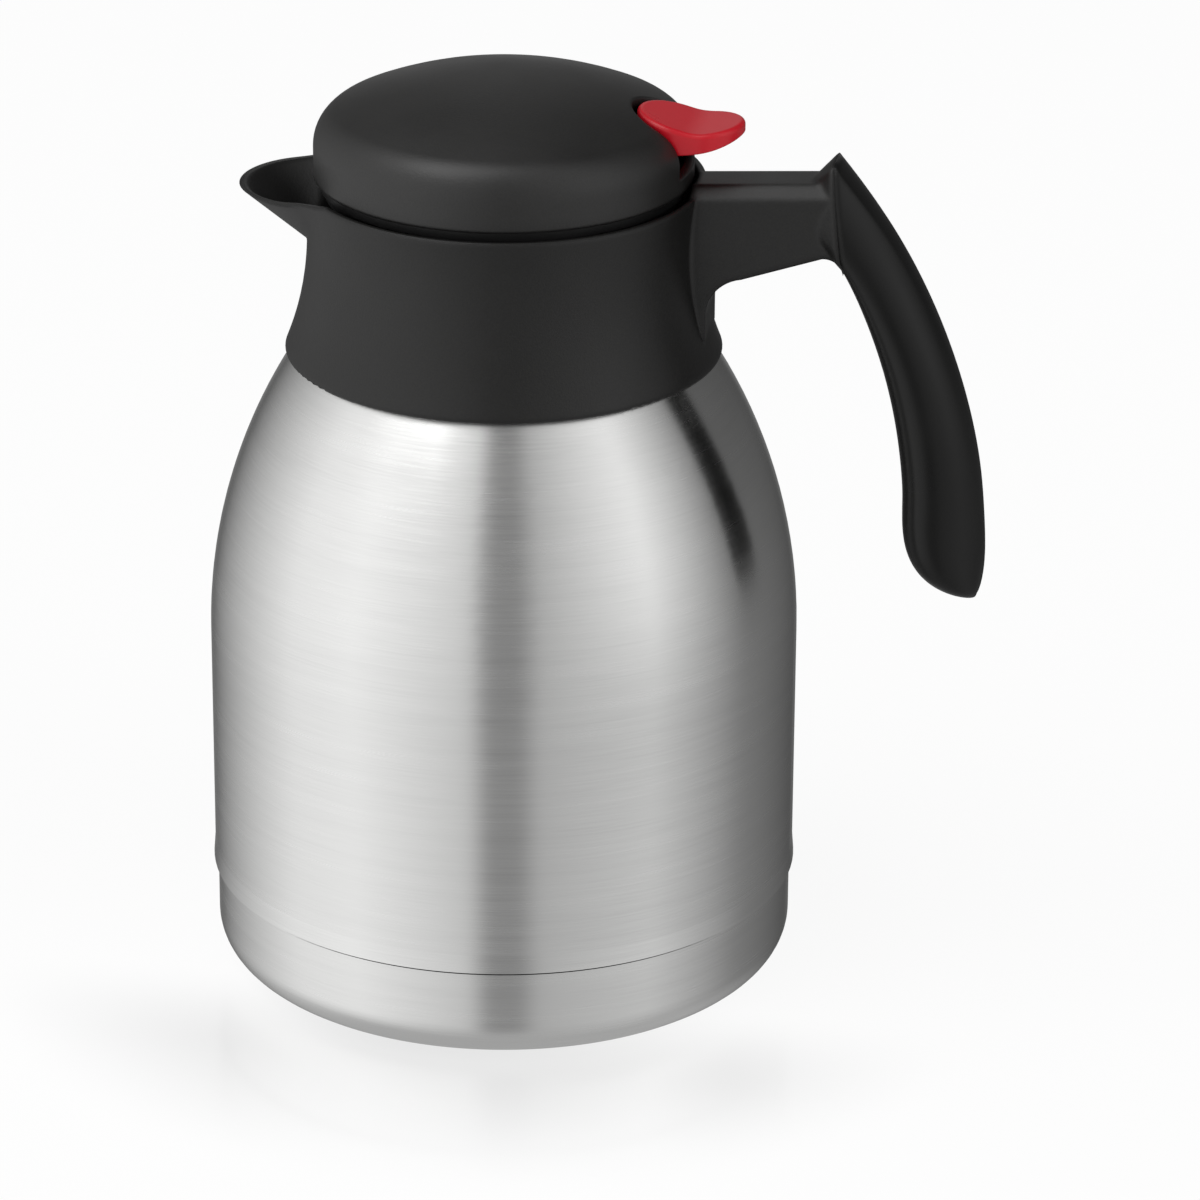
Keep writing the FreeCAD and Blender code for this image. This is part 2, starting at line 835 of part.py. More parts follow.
def arm():
    """Arm between collar and grip: side view crossed with a plan that flares at the root."""
    root_top = rim_height + dim.arm_root_rise
    end_top = arm_end(rim_height + dim.arm_end_rise)
    under = rim_height - dim.arm_root_drop
    crotch = front_point(grip_crotch)
    inside = dim.collar_waist - dim.collar_wall
    web = under - dim.arm_under_fall
    foot = web - dim.arm_web_drop
    crotch_arc = dim.crotch_run * CROTCH_ARC_SHARE
    side = slab("arm_side", [
        (inside, root_top),
        (inside, foot),
        (dim.arm_root_reach - dim.arm_under_run, foot),
        (dim.arm_root_reach - dim.arm_under_run, web),
        (dim.arm_root_reach, under, right(dim.arm_under_arc)),
        (crotch[0] - dim.crotch_run, crotch[1] + dim.crotch_rise),
        (crotch[0], crotch[1], right(crotch_arc)),
        end_top,
    ], dim.arm_width * 3)
    narrow = half(dim.arm_width)
    wide = narrow + dim.arm_root_flare
    flare_end = dim.collar_waist - dim.arm_root_inset
    flare_start = flare_end + dim.arm_root_flare
    plan = new_body("arm_plan")
    sketch = new_sketch(plan, "arm_plan_top", "XY_Plane", foot - overrun)
    end = dim.grip_front_reach
    outline(sketch, [
        (inside, -wide),
        (flare_end, -wide),
        (flare_start, -narrow, right(dim.arm_root_flare)),
        (end, -narrow),
        (end, narrow),
        (flare_start, narrow),
        (flare_end, wide, right(dim.arm_root_flare)),
        (inside, wide),
    ])
    extrude(plan, "Pad", sketch, grip_top - foot + overrun)
    crossed = joined("arm_crossed", "Common", side, plan)
    doc.recompute()
    bevel = doc.addObject("Part::Chamfer", "arm_bevel")
    bevel.Base = crossed
    size = dim.arm_bevel.value
    tops = []
    for number, edge in enumerate(crossed.Shape.Edges, start=1):
        ends = [vertex.Point for vertex in edge.Vertexes]
        level = min(point.z for point in ends) > root_top.value - EDGE_MATCH
        along = abs(ends[0].y - ends[-1].y) < EDGE_MATCH and abs(ends[0].x - ends[-1].x) > EDGE_MATCH
        if level and along and abs(ends[0].y) < wide.value - EDGE_MATCH:
            tops.append((number, size, size))
    bevel.Edges = tops
    return bevel


def tang_path(play):
    """Tongue of the arm inside the grip, between the grip's front and back walls."""
    inset = dim.tang_wall - play
    low = rim_height - dim.tang_fall - play
    back_low, front_low = back_point(low), front_point(low)
    back_high = back_point(grip_top - dim.tang_wall * 3)
    seat = arm_end(grip_crotch + dim.tang_wall * 3)
    return [
        (seat[0] - dim.tang_wall, seat[1] - play),
        (seat[0] + inset, seat[1] - play),
        (front_low[0] + inset, low),
        (back_low[0] - inset, low),
        (back_high[0] - inset, back_high[1] + play),
        (seat[0] - dim.tang_wall, back_high[1] + play),
    ]


def arm_head():
    """End of the arm that swells to the section of the grip."""
    low, high = front_point(grip_crotch), back_point(grip_top)
    way = direction(low, high)
    nose_low = (low[0] + way[0] * dim.head_low - way[1] * dim.head_length,
                low[1] + way[1] * dim.head_low + way[0] * dim.head_length)
    nose_high = (nose_low[0] + way[0] * dim.head_height, nose_low[1] + way[1] * dim.head_height)
    body = new_body("arm_head")
    spine, corner = half(dim.grip_spine_top), dim.grip_corner
    nose = grip_section(body, "head_nose", nose_low, nose_high, dim.head_width, half(corner), half(spine))
    seam = grip_section(body, "head_seam", low, high, dim.grip_width, corner, spine)
    loft = body.newObject("PartDesign::AdditiveLoft", "head_loft")
    loft.Profile = nose
    loft.Sections = [seam]
    return body


def peak_trim():
    """What is rounded off the ridge where arm and grip meet."""
    x, z = back_point(grip_top)
    bend, side = dim.grip_peak_round, dim.grip_peak_half
    low = z - dim.grip_peak_cut - bend + root(bend * bend - side * side)
    return slab("peak_trim", [
        (x - side, low),
        (x + side, low, right(bend)),
        (x + side, z + overrun),
        (x - side, z + overrun),
    ], dim.grip_width * 2)


def collar():
    """Collar, spout, arm and tang as one moulding."""
    block, room = collar_block(), collar_room()
    spout_foot = rim_height - dim.spout_depth - dim.spout_drop
    outside = spouted("spout_outside", block, spout_foot, zero, zero)
    inside = spouted("spout_inside", room, shelf_top, dim.spout_lip, dim.rim_width)
    full = joined("collar_with_arm", "Fuse", outside, arm())
    full = joined("collar_with_head", "Fuse", full, arm_head())
    tongue = slab("arm_tang", tang_path(zero), dim.tang_width)
    full = joined("collar_with_tang", "Fuse", full, tongue)
    hollow = joined("collar_hollow", "Fuse", inside, neck_room())
    hollow = joined("collar_hollow_top", "Fuse", hollow, lid_room())
    bored = joined("collar_bored", "Cut", full, hollow)
    lipped = joined("collar_lipped", "Cut", bored, lip_trim())
    peaked = joined("collar_peaked", "Cut", lipped, peak_room)
    return joined("collar", "Cut", peaked, screw_room)


def neck_ring():
    """Insert that clamps the collar on the neck and takes the stopper."""
    foot = shelf_top - dim.ring_depth
    return turned("neck_ring", [
        (ring_bore, foot),
        (ring_outer, foot),
        (ring_outer, shelf_top),
        (dim.ring_flange_radius, shelf_top),
        (dim.ring_flange_radius, ring_top),
        (ring_bore, ring_top),
    ])


def flat_ring(label, inner, outer, low, thickness):
    return turned(label, [
        (inner, low),
        (outer, low),
        (outer, low + thickness),
        (inner, low + thickness),
    ])


# Grip

def grip_section(body, name, front, back, width, corner, spine):
    """One cross-section: rounded finger side, bowed flanks and a creased spine."""
    run, rise = back[0].value - front[0].value, back[1].value - front[1].value
    depth = root((back[0] - front[0]) * (back[0] - front[0])
                 + (back[1] - front[1]) * (back[1] - front[1]))
    tilt = FreeCAD.Rotation(FreeCAD.Vector(0, 1, 0), -math.degrees(math.atan2(rise, run)))
    spot = FreeCAD.Vector(front[0].value, 0, front[1].value)
    sketch = new_sketch(body, name, "XY_Plane")
    sketch.AttachmentOffset = FreeCAD.Placement(spot, tilt)
    wide, crown = half(width), spine * SPINE_CROWN_SHARE
    flat = wide - corner
    crease = depth - crown
    flank = bow(wide - spine, crease - corner)
    spine_arc = bow(crown, spine)
    outline(sketch, [
        (zero, -flat),
        (corner, -wide, left(corner)),
        (crease, -spine, left(flank)),
        (crease, spine, left(spine_arc)),
        (corner, wide, left(flank)),
        (zero, flat, left(corner)),
    ])
    return sketch


def grip():
    """Curved grip lofted through sections, drawn in to a point at its free end."""
    body = new_body("grip_form")
    spine_end, spine_more = half(dim.grip_spine_end), half(dim.grip_spine_top - dim.grip_spine_end)
    bend = dim.grip_tip_arc
    front_low = grip_end + bend
    sections = []
    for index, shares in enumerate(zip(BACK_SHARES, FRONT_SHARES, SPINE_SHARES)):
        back = back_point(grip_top + (grip_back_low - grip_top) * shares[0])
        front = front_point(grip_crotch + (front_low - grip_crotch) * shares[1])
        spine = spine_end + spine_more * shares[2]
        sections.append(grip_section(body, "grip_section_%d" % index, front, back,
                                     dim.grip_width, dim.grip_corner, spine))
    centre = front_point(front_low)[0] + bend
    tips = zip(TIP_TURN_SHARES, TIP_BACK_SHARES, TIP_WIDTH_SHARES, TIP_TUCK_SHARES)
    for index, shares in enumerate(tips):
        angle = math.radians(FULL_TURN / 4 * shares[0])
        front = (centre - bend * math.cos(angle), front_low - bend * math.sin(angle))
        back = back_point(grip_back_low + (grip_end - grip_back_low) * shares[1])
        back = (back[0] - dim.grip_tip_tuck * shares[3], back[1])
        sections.append(grip_section(body, "grip_tip_%d" % index, front, back,
                                     dim.grip_width * shares[2], dim.grip_corner * shares[2], spine_end))
    loft = body.newObject("PartDesign::AdditiveLoft", "grip_loft")
    loft.Profile = sections[0]
    loft.Sections = sections[1:]
    socket = slab("grip_socket", tang_path(dim.tang_fit), dim.tang_width + dim.tang_fit * 2)
    hollow = joined("grip_hollow", "Fuse", socket, screw_room)
    hollow = joined("grip_hollow_peak", "Fuse", hollow, peak_room)
    return joined("grip", "Cut", body, hollow)


# Stopper

def stopper_body():
    """Hollow plug with the valve seat, its two flanges and the port to the spout."""
    floor = stopper_floor
    floor_top = floor + dim.stopper_floor_thickness
    seat_out = dim.seat_radius + dim.seat_ring
    edge, groove_low = dim.plug_edge, deck_low - dim.deck_seal_depth
    groove_outer = groove_inner + dim.deck_seal_width + dim.deck_seal_squeeze * 2
    body = turned("stopper_body", [
        (dim.seat_radius, floor),
        (plug_radius - edge, floor),
        (plug_radius, floor + edge, left(edge)),
        (plug_radius, seat_flange_low),
        (dim.seat_flange_radius, seat_flange_low),
        (dim.seat_flange_radius, seat_flange_top),
        (plug_radius, seat_flange_top),
        (plug_radius, top_flange_low),
        (dim.top_flange_radius, top_flange_low),
        (dim.top_flange_radius, deck_low),
        (groove_outer, deck_low),
        (groove_outer, groove_low),
        (groove_inner, groove_low),
        (groove_inner, deck_low),
        (chamber_radius, deck_low),
        (chamber_radius, floor_top),
        (seat_out, floor_top),
        (seat_out, seat_top),
        (dim.seat_radius, seat_top),
    ])
    sketch = new_sketch(body, "port_outline", "YZ_Plane")
    wide, corner = half(dim.port_width), dim.port_corner
    low = seat_flange_top + dim.port_margin
    high = low + dim.port_height
    outline(sketch, [
        (-wide + corner, low, left(corner)),
        (wide - corner, low),
        (wide, low + corner, left(corner)),
        (wide, high - corner),
        (wide - corner, high, left(corner)),
        (-wide + corner, high),
        (-wide, high - corner, left(corner)),
        (-wide, low + corner),
    ])
    extrude(body, "Pocket", sketch, plug_radius + overrun)
    screw_holes(body, "stopper", deck_low + overrun, dim.top_flange + overrun * 2)
    return body


def screw_holes(body, name, start, depth):
    """Clearance holes for the lid screws, bored downwards from a height."""
    sketch = new_sketch(body, name + "_hole", "XY_Plane", start)
    offset = dim.screw_circle / root(size_of(2))
    ring(sketch, offset, offset, dim.screw_radius + dim.screw_play)
    hole = extrude(body, "Pocket", sketch, depth)
    return around_axis(body, hole, SCREW_COUNT)


def stopper_deck():
    """Plate that closes the plug, with the stem's guide and the ears of the lever pin."""
    bore = dim.stem_radius + dim.stem_fit
    groove_low = deck_low - dim.stem_seal_drop - dim.stem_seal_section * 2
    groove_high = deck_low - dim.stem_seal_drop
    groove_deep = bore + dim.stem_seal_section * 2
    body = turned("stopper_deck", [
        (bore, deck_low - dim.guide_depth),
        (dim.guide_radius, deck_low - dim.guide_depth),
        (dim.guide_radius, deck_low),
        (deck_radius, deck_low),
        (deck_radius, lid_edge),
        (dim.guide_radius, lid_edge),
        (dim.guide_radius, lid_edge + dim.guide_rise),
        (bore, lid_edge + dim.guide_rise),
        (bore, groove_high),
        (groove_deep, groove_high),
        (groove_deep, groove_low),
        (bore, groove_low),
    ])
    gap = half(dim.lever_web) + dim.ear_gap
    hub, centre = dim.lever_hub, dim.lever_pivot_reach
    ears = new_sketch(body, "ear_side")
    outline(ears, [
        (centre - hub, lid_edge - half(dim.deck_thickness)),
        (centre + hub, lid_edge - half(dim.deck_thickness)),
        (centre + hub, pivot_height),
        (centre, pivot_height + hub, left(hub)),
        (centre - hub, pivot_height, left(hub)),
    ])
    extrude(body, "Pad", ears, (gap + dim.ear_thickness) * 2, symmetric=True)
    between = new_sketch(body, "ear_gap")
    outline(between, [
        (centre - hub - overrun, lid_edge),
        (centre + hub + overrun, lid_edge),
        (centre + hub + overrun, pivot_height + hub + overrun),
        (centre - hub - overrun, pivot_height + hub + overrun),
    ])
    extrude(body, "Pocket", between, gap * 2, symmetric=True)
    bores = new_sketch(body, "ear_bore")
    ring(bores, centre, pivot_height, dim.pin_radius + dim.pin_fit)
    extrude(body, "Pocket", bores, (gap + dim.ear_thickness + overrun) * 2, symmetric=True)
    screw_holes(body, "deck", lid_edge + overrun, dim.deck_thickness + overrun * 2)
    return body


def deck_seal():
    inner = groove_inner + dim.deck_seal_squeeze
    thickness = dim.deck_seal_depth - dim.deck_seal_squeeze
    low = deck_low - dim.deck_seal_depth
    return flat_ring("deck_seal", inner, inner + dim.deck_seal_width, low, thickness)


def stem_seal():
    """Round-section ring in the guide's groove."""
    section = dim.stem_seal_section
    body = doc.addObject("Part::Torus", "stem_seal")
    body.Label = "stem_seal"
    body.setExpression("Radius1", (dim.stem_radius + dim.stem_fit + section).text)
    body.setExpression("Radius2", section.text)
    body.setExpression("Placement.Base.z", (deck_low - dim.stem_seal_drop - section).text)
    return body


def lid_cover():
    """Domed cover with screw bosses inside and the open slot of the lever."""
    radius, shoulder, crown = dim.lid_radius, dim.lid_shoulder, dim.lid_crown_arc
    sheet = dim.lid_wall
    run = radius - shoulder
    climb = root((crown - shoulder) * (crown - shoulder) - run * run)
    bend = lid_centre + climb
    body = turned("lid_cover", [
        (radius, lid_edge),
        (radius, bend),
        (run * crown / (crown - shoulder), lid_centre + climb * crown / (crown - shoulder),
         left(shoulder)),
        (zero, lid_apex, left(crown)),
        (zero, lid_apex - sheet),
        (run * (crown - sheet) / (crown - shoulder),
         lid_centre + climb * (crown - sheet) / (crown - shoulder), right(crown - sheet)),
        (radius - sheet, bend, right(shoulder - sheet)),
        (radius - sheet, lid_edge),
    ])
    offset = dim.screw_circle / root(size_of(2))
    bosses = new_sketch(body, "lid_boss", "XY_Plane", lid_edge)
    ring(bosses, offset, offset, dim.boss_radius)
    ring(bosses, offset, offset, dim.screw_radius + dim.screw_play)
    boss = extrude(body, "Pad", bosses, dim.lid_height)
    boss.Type = "UpToFirst"
    around_axis(body, boss, SCREW_COUNT)
    wide = lever_half + dim.slot_side_gap
    inner = dim.lever_inner_reach - dim.slot_end_gap
    slot = new_sketch(body, "lever_slot", "XY_Plane", lid_apex + overrun)
    outline(slot, [
        (radius + overrun, wide),
        (inner + wide, wide),
        (inner, zero, left(wide)),
        (inner + wide, -wide, left(wide)),
        (radius + overrun, -wide),
    ])
    extrude(body, "Pocket", slot, lid_apex + overrun - lid_edge - dim.slot_sill)
    return body


def lid_screws():
    """Screws that pull plug, deck and cover together."""
    body = new_body("lid_screws")
    body.AllowCompound = True
    sketch = new_sketch(body, "lid_screw")
    base = top_flange_low
    head = base - dim.screw_head_height
    outline(sketch, [
        (zero, head),
        (dim.screw_head_radius, head),
        (dim.screw_head_radius, base),
        (dim.screw_radius, base),
        (dim.screw_radius, base + dim.screw_length),
        (zero, base + dim.screw_length),
    ])
    offset = dim.screw_circle / root(size_of(2))
    sketch.setExpression("AttachmentOffset.Base.x", offset.text)
    sketch.setExpression("AttachmentOffset.Base.z", (-offset).text)
    around_axis(body, turn(body, sketch), SCREW_COUNT)
    return body


# Lever and pin

def direction(start, end):
    """Unit direction from one corner of a sketch to the next."""
    run, rise = end[0] - start[0], end[1] - start[1]
    length = root(run * run + rise * rise)
    return (run / length, rise / length)


def lever():
    """Saddle-shaped thumb piece on a hub, with the fork that lifts the stem."""
    reach, tip = dim.lever_inner_reach, dim.lever_tip_reach
    crown = dim.lid_crown_arc
    high = lid_centre + root(crown * crown - reach * reach)
    belly = pivot_height + dim.lever_hub + dim.lever_hub_gap
    tip_top = high - dim.lever_tip_drop
    inner_end, outer_end = (reach, high), (tip, tip_top)
    valley = (dim.lever_valley_reach, high - dim.lever_valley_drop)
    falling, rising = direction(inner_end, valley), direction(valley, outer_end)
    bend = falling[0] * rising[0] + falling[1] * rising[1]
    run = dim.lever_valley_arc * root((size_of(1) - bend) / (size_of(1) + bend))
    saddle = slab("lever_saddle", [
        (reach, belly),
        (dim.lever_belly_reach, belly),
        (tip, tip_top - dim.lever_tip_depth, left(dim.lever_belly_arc)),
        outer_end,
        (valley[0] + rising[0] * run, valley[1] + rising[1] * run),
        (valley[0] - falling[0] * run, valley[1] - falling[1] * run, right(dim.lever_valley_arc)),
        inner_end,
    ], dim.lever_width * 2)
    plan = new_body("lever_plan")
    sketch = new_sketch(plan, "lever_plan_top", "XY_Plane", pivot_height)
    outline(sketch, [
        (reach + lever_half, lever_half),
        (reach, zero, left(lever_half)),
        (reach + lever_half, -lever_half, left(lever_half)),
        (tip - lever_half, -lever_half),
        (tip, zero, left(lever_half)),
        (tip - lever_half, lever_half, left(lever_half)),
    ])
    extrude(plan, "Pad", sketch, high - pivot_height + overrun)
    paddle = joined("lever_paddle", "Common", saddle, plan)
    doc.recompute()
    rounded = doc.addObject("Part::Fillet", "lever_rounded")
    rounded.Base = paddle
    rounded.Edges = upper_rim(paddle.Shape, dim.lever_edge.value)
    hub, thick = dim.lever_hub, half(dim.lever_arm)
    pivot = dim.lever_pivot_reach
    stalk = new_body("lever_stalk")
    profile = new_sketch(stalk, "lever_stalk_side")
    outline(profile, [
        (pivot + hub, belly + overrun * HALF_SHARE),
        (pivot - hub, belly + overrun * HALF_SHARE),
        (pivot - hub, pivot_height + thick),
        (zero, pivot_height + thick),
        (-thick, pivot_height, left(thick)),
        (zero, pivot_height - thick, left(thick)),
        (pivot - hub, pivot_height - thick),
        (pivot, pivot_height - hub, left(hub)),
        (pivot + hub, pivot_height, left(hub)),
    ])
    extrude(stalk, "Pad", profile, dim.lever_web, symmetric=True)
    fork = new_sketch(stalk, "fork_gap", "XY_Plane", pivot_height + hub)
    gap = half(dim.fork_slot)
    outline(fork, [
        (-thick - overrun, -gap),
        (dim.fork_reach, -gap),
        (dim.fork_reach, gap),
        (-thick - overrun, gap),
    ])
    extrude(stalk, "Pocket", fork, hub * 2)
    piece = joined("lever_blank", "Fuse", rounded, stalk)
    bore = doc.addObject("Part::Cylinder", "lever_bore")
    bore.setExpression("Radius", (dim.pin_radius + dim.pin_fit).text)
    bore.setExpression("Height", (dim.lever_web + overrun * 2).text)
    lay_across(bore, half(dim.lever_web) + overrun)
    return joined("lever", "Cut", piece, bore)


def upper_rim(shape, radius):
    """Edges of the saddle's top face, with one radius all round."""
    rim = []
    for number, edge in enumerate(shape.Edges, start=1):
        faces = [face for face in shape.Faces if any(edge.isSame(other) for other in face.Edges)]
        ups = [face.normalAt(*middle_of(face)).z > HALF_SHARE for face in faces]
        if len(faces) == 2 and ups.count(True) == 1:
            rim.append((number, radius, radius))
    return rim


def middle_of(face):
    bounds = face.ParameterRange
    return ((bounds[0] + bounds[1]) * HALF_SHARE, (bounds[2] + bounds[3]) * HALF_SHARE)


def lay_across(cylinder, reach):
    """Lay a cylinder along Y through the lever's pivot, starting a reach to the side."""
    quarter = FULL_TURN / 4
    cylinder.Placement.Rotation = FreeCAD.Rotation(FreeCAD.Vector(1, 0, 0), -quarter)
    cylinder.setExpression("Placement.Base.x", dim.lever_pivot_reach.text)
    cylinder.setExpression("Placement.Base.y", (-reach).text)
    cylinder.setExpression("Placement.Base.z", pivot_height.text)


def lever_pin():
    reach = half(dim.lever_web) + dim.ear_gap + dim.ear_thickness + dim.pin_end
    pin = doc.addObject("Part::Cylinder", "lever_pin")
    pin.Label = "lever_pin"
    pin.setExpression("Radius", dim.pin_radius.text)
    pin.setExpression("Height", (reach * 2).text)
    lay_across(pin, reach)
    return pin


# Valve

def valve_stem():
    foot = valve_top + dim.valve_hub - dim.stem_socket
    return turned("valve_stem", [
        (zero, foot),
        (dim.stem_radius, foot),
        (dim.stem_radius, head_low),
        (dim.stem_head_radius, head_low),
        (dim.stem_head_radius, head_low + dim.stem_head),
        (zero, head_low + dim.stem_head),
    ])


def valve_plug():
    """Disc with a hub for the stem and a nose that guides it in the seat."""
    hub_top = valve_top + dim.valve_hub
    socket = hub_top - dim.stem_socket
    bore = dim.stem_radius + dim.weld_gap
    return turned("valve_plug", [
        (zero, valve_low - dim.valve_nose),
        (dim.valve_nose_radius, valve_low - dim.valve_nose),
        (dim.valve_nose_radius, valve_low),
        (dim.valve_radius, valve_low),
        (dim.valve_radius, valve_top),
        (dim.valve_hub_radius, valve_top),
        (dim.valve_hub_radius, hub_top),
        (bore, hub_top),
        (bore, socket),
        (zero, socket),
    ])


def valve_seal():
    inner = dim.valve_nose_radius + dim.weld_gap
    outer = dim.valve_radius - dim.valve_seal_edge
    return flat_ring("valve_seal", inner, outer, seat_top, dim.valve_seal_thickness)


def biarc(start, start_way, end, end_way):
    """Two tangent arcs from start to end with the given directions."""
    chord = end - start
    ways = start_way + end_way
    a = 2 * (1 - start_way.dot(end_way))
    b = 2 * chord.dot(ways)
    c = -chord.dot(chord)
    reach = (-b + math.sqrt(b * b - 4 * a * c)) / (2 * a)
    meet = (start + end + (start_way - end_way) * reach) * HALF_SHARE
    corners = (start + start_way * reach, end - end_way * reach)
    arcs = []
    for first, corner, last in ((start, corners[0], meet), (meet, corners[1], end)):
        middle = (first + last) * HALF_SHARE
        bow, run = (corner - middle).Length, (last - first).Length * HALF_SHARE
        lean = math.hypot(bow, run)
        rise = run * (lean - run) / bow
        arcs.append(Part.Arc(first, middle + (corner - middle) * (rise / bow), last).toShape())
    return arcs


def valve_spring():
    """Closing spring between the valve disc and the deck, one unbroken wire."""
    wire = dim.spring_wire.value
    low = valve_top.value + wire + dim.spring_seat_gap.value
    high = deck_low.value - wire - dim.spring_seat_gap.value
    radius = dim.spring_radius.value
    rise = (high - low) / SPRING_TURNS
    turn_length = 2 * math.pi

    def spot(share):
        angle = turn_length * share
        return FreeCAD.Vector(radius * math.cos(angle), radius * math.sin(angle), low + rise * share)

    def way(share):
        angle = turn_length * share
        return FreeCAD.Vector(-radius * math.sin(angle), radius * math.cos(angle),
                              rise / turn_length).normalize()

    stops = [index / BIARCS_PER_TURN for index in range(SPRING_TURNS * BIARCS_PER_TURN + 1)]
    edges = []
    for first, last in zip(stops, stops[1:]):
        edges.extend(biarc(spot(first), way(first), spot(last), way(last)))
    path = Part.Wire(edges)
    section = Part.Wire([Part.Circle(spot(0), way(0), wire).toShape()])
    marks = [spot(index / GAP_MARKS) for index in range(SPRING_TURNS * GAP_MARKS + 1)]
    least = min((marks[i] - marks[j]).Length
                for i in range(len(marks)) for j in range(i + GAP_MARKS // 2, len(marks)))
    print("spring: least gap to itself %.2f mm" % (least - wire * 2))
    spring = doc.addObject("Part::Feature", "valve_spring")
    spring.Label = "valve_spring"
    spring.Shape = path.makePipeShell([section], True, False)
    spring.Placement = FreeCAD.Placement()
    return spring


node(outer_shell())
node(inner_flask())
node(shell_bottom())
node(getter_capsule())
node(base_cup())
screw_room = screw_pair("screw_room", dim.screw_play, dim.grip_screw_sink + overrun)
peak_room = peak_trim()
node(collar())
node(neck_ring())
node(flat_ring("neck_seal", flask_bore, dim.neck_radius, dim.mouth_height, dim.neck_seal_thickness))
node(grip())
node(screw_pair("grip_screws", zero, dim.grip_screw_head_height))
node(stopper_body())
node(stopper_deck())
node(deck_seal())
node(stem_seal())
node(flat_ring("stopper_seal", plug_radius + dim.stopper_seal_fit, dim.seat_flange_radius,
               ring_top, dim.stopper_seal_thickness))
node(lid_cover())
node(lid_screws())
node(lever())
node(lever_pin())
node(valve_stem())
node(valve_plug())
node(valve_seal())
node(valve_spring())

doc.recompute()
for item in doc.Objects:
    if "Invalid" in item.State or "Error" in item.State:
        raise RuntimeError("%s did not build" % item.Label)
for piece in nodes:
    if piece.Shape.isNull() or not piece.Shape.isValid() or not piece.Shape.Solids:
        raise RuntimeError("%s has no valid shape" % piece.Label)

os.makedirs("parts", exist_ok=True)
for piece in nodes:
    piece.Shape.exportStep(os.path.join("parts", piece.Label + ".step"))
    box = piece.Shape.optimalBoundingBox()
    print("%-16s solids %d  volume %9.1f  x %.1f..%.1f  z %.1f..%.1f" % (
        piece.Label, len(piece.Shape.Solids), piece.Shape.Volume,
        box.XMin, box.XMax, box.ZMin, box.ZMax))
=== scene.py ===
# %% [markdown]
# # A vacuum jug in brushed steel and black plastic
# The imported CAD model gives every rigid piece of the jug its exact place. It is loaded first, and
# the boxes of its pieces give sizes further on. The finished picture may not make the jug any
# larger than it is.

# %% Load the imported jug
import math

import bpy
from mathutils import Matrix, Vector


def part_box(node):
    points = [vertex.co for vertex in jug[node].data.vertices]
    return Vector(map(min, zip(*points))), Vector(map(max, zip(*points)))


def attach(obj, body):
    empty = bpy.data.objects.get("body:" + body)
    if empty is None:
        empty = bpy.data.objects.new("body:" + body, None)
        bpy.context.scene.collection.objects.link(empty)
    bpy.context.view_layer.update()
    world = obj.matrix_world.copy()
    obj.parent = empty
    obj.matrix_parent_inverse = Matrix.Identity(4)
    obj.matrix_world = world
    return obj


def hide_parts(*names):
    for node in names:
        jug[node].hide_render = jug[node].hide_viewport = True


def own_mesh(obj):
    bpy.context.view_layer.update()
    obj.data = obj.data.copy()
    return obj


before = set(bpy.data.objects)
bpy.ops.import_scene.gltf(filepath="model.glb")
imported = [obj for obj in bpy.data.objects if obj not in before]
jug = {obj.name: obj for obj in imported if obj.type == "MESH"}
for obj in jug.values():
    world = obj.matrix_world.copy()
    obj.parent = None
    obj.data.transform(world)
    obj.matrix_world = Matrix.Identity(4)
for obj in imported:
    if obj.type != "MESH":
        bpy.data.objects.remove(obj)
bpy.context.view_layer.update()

# %% [markdown]
# ## The camera
# The photograph looks down on the jug from its front, turned a little towards the handle, with a
# long lens. Azimuth 0 is the jug's front (-Y). The jug stands left of the middle of the frame. The
# camera could be turned for that, but then the uprights would tilt, so a horizontal lens shift
# moves the picture instead.

# %% Camera at the photograph's angle
VIEW_AZIMUTH, VIEW_HEIGHT = math.radians(10.6), math.radians(23.03)
VIEW_DISTANCE = 1.404
VIEW_TARGET = Vector((0.0, 0.0, 0.0895))
SENSOR_WIDTH, FOCAL_LENGTH, LENS_SHIFT, NEAREST = 36.0, 174.5, 0.0801, 0.05
to_camera = Vector((math.sin(VIEW_AZIMUTH) * math.cos(VIEW_HEIGHT),
                    -math.cos(VIEW_AZIMUTH) * math.cos(VIEW_HEIGHT),
                    math.sin(VIEW_HEIGHT)))
bpy.ops.object.camera_add(location=VIEW_TARGET + to_camera * VIEW_DISTANCE,
                          rotation=to_camera.to_track_quat("Z", "Y").to_euler())
camera = bpy.context.object
camera.name = "photo_camera"
camera.data.sensor_width = SENSOR_WIDTH
camera.data.lens = FOCAL_LENGTH
camera.data.shift_x = LENS_SHIFT
camera.data.clip_start = NEAREST
bpy.context.scene.camera = camera
print("camera:", [round(v, 3) for v in camera.location])

# %% [markdown]
# ## The studio
# Brushed steel shows little of its own colour and much of the room. In the picture its left half
# mirrors a large bright soft box, its right half a weaker one, and the narrow dark band between
# them is the gap where the camera stands. The shoulder looks further up, where the right box is
# brighter, and the rounding at the foot mirrors the pale sheet right under it. Lamps alone would
# give hard spots, so a world that changes with compass direction and height stands for the room,
# from a plan with a few directions. It stays where it is when the jug is seen from elsewhere. Past
# the floor's far edge the camera itself sees only the Background node's own pale grey. First come
# helpers for nodes that are used often.

# %% Node helpers
def feed(tree, socket, value):
    """Link a socket to an input, or set the input to a number."""
    if isinstance(value, bpy.types.NodeSocket):
        tree.links.new(value, socket)
    else:
        socket.default_value = value


def maths(tree, operation, first, second=None):
    """A Math node; each operand is a socket or a number."""
    node = tree.nodes.new("ShaderNodeMath")
    node.operation = operation
    feed(tree, node.inputs[0], first)
    if second is not None:
        feed(tree, node.inputs[1], second)
    return node.outputs["Value"]


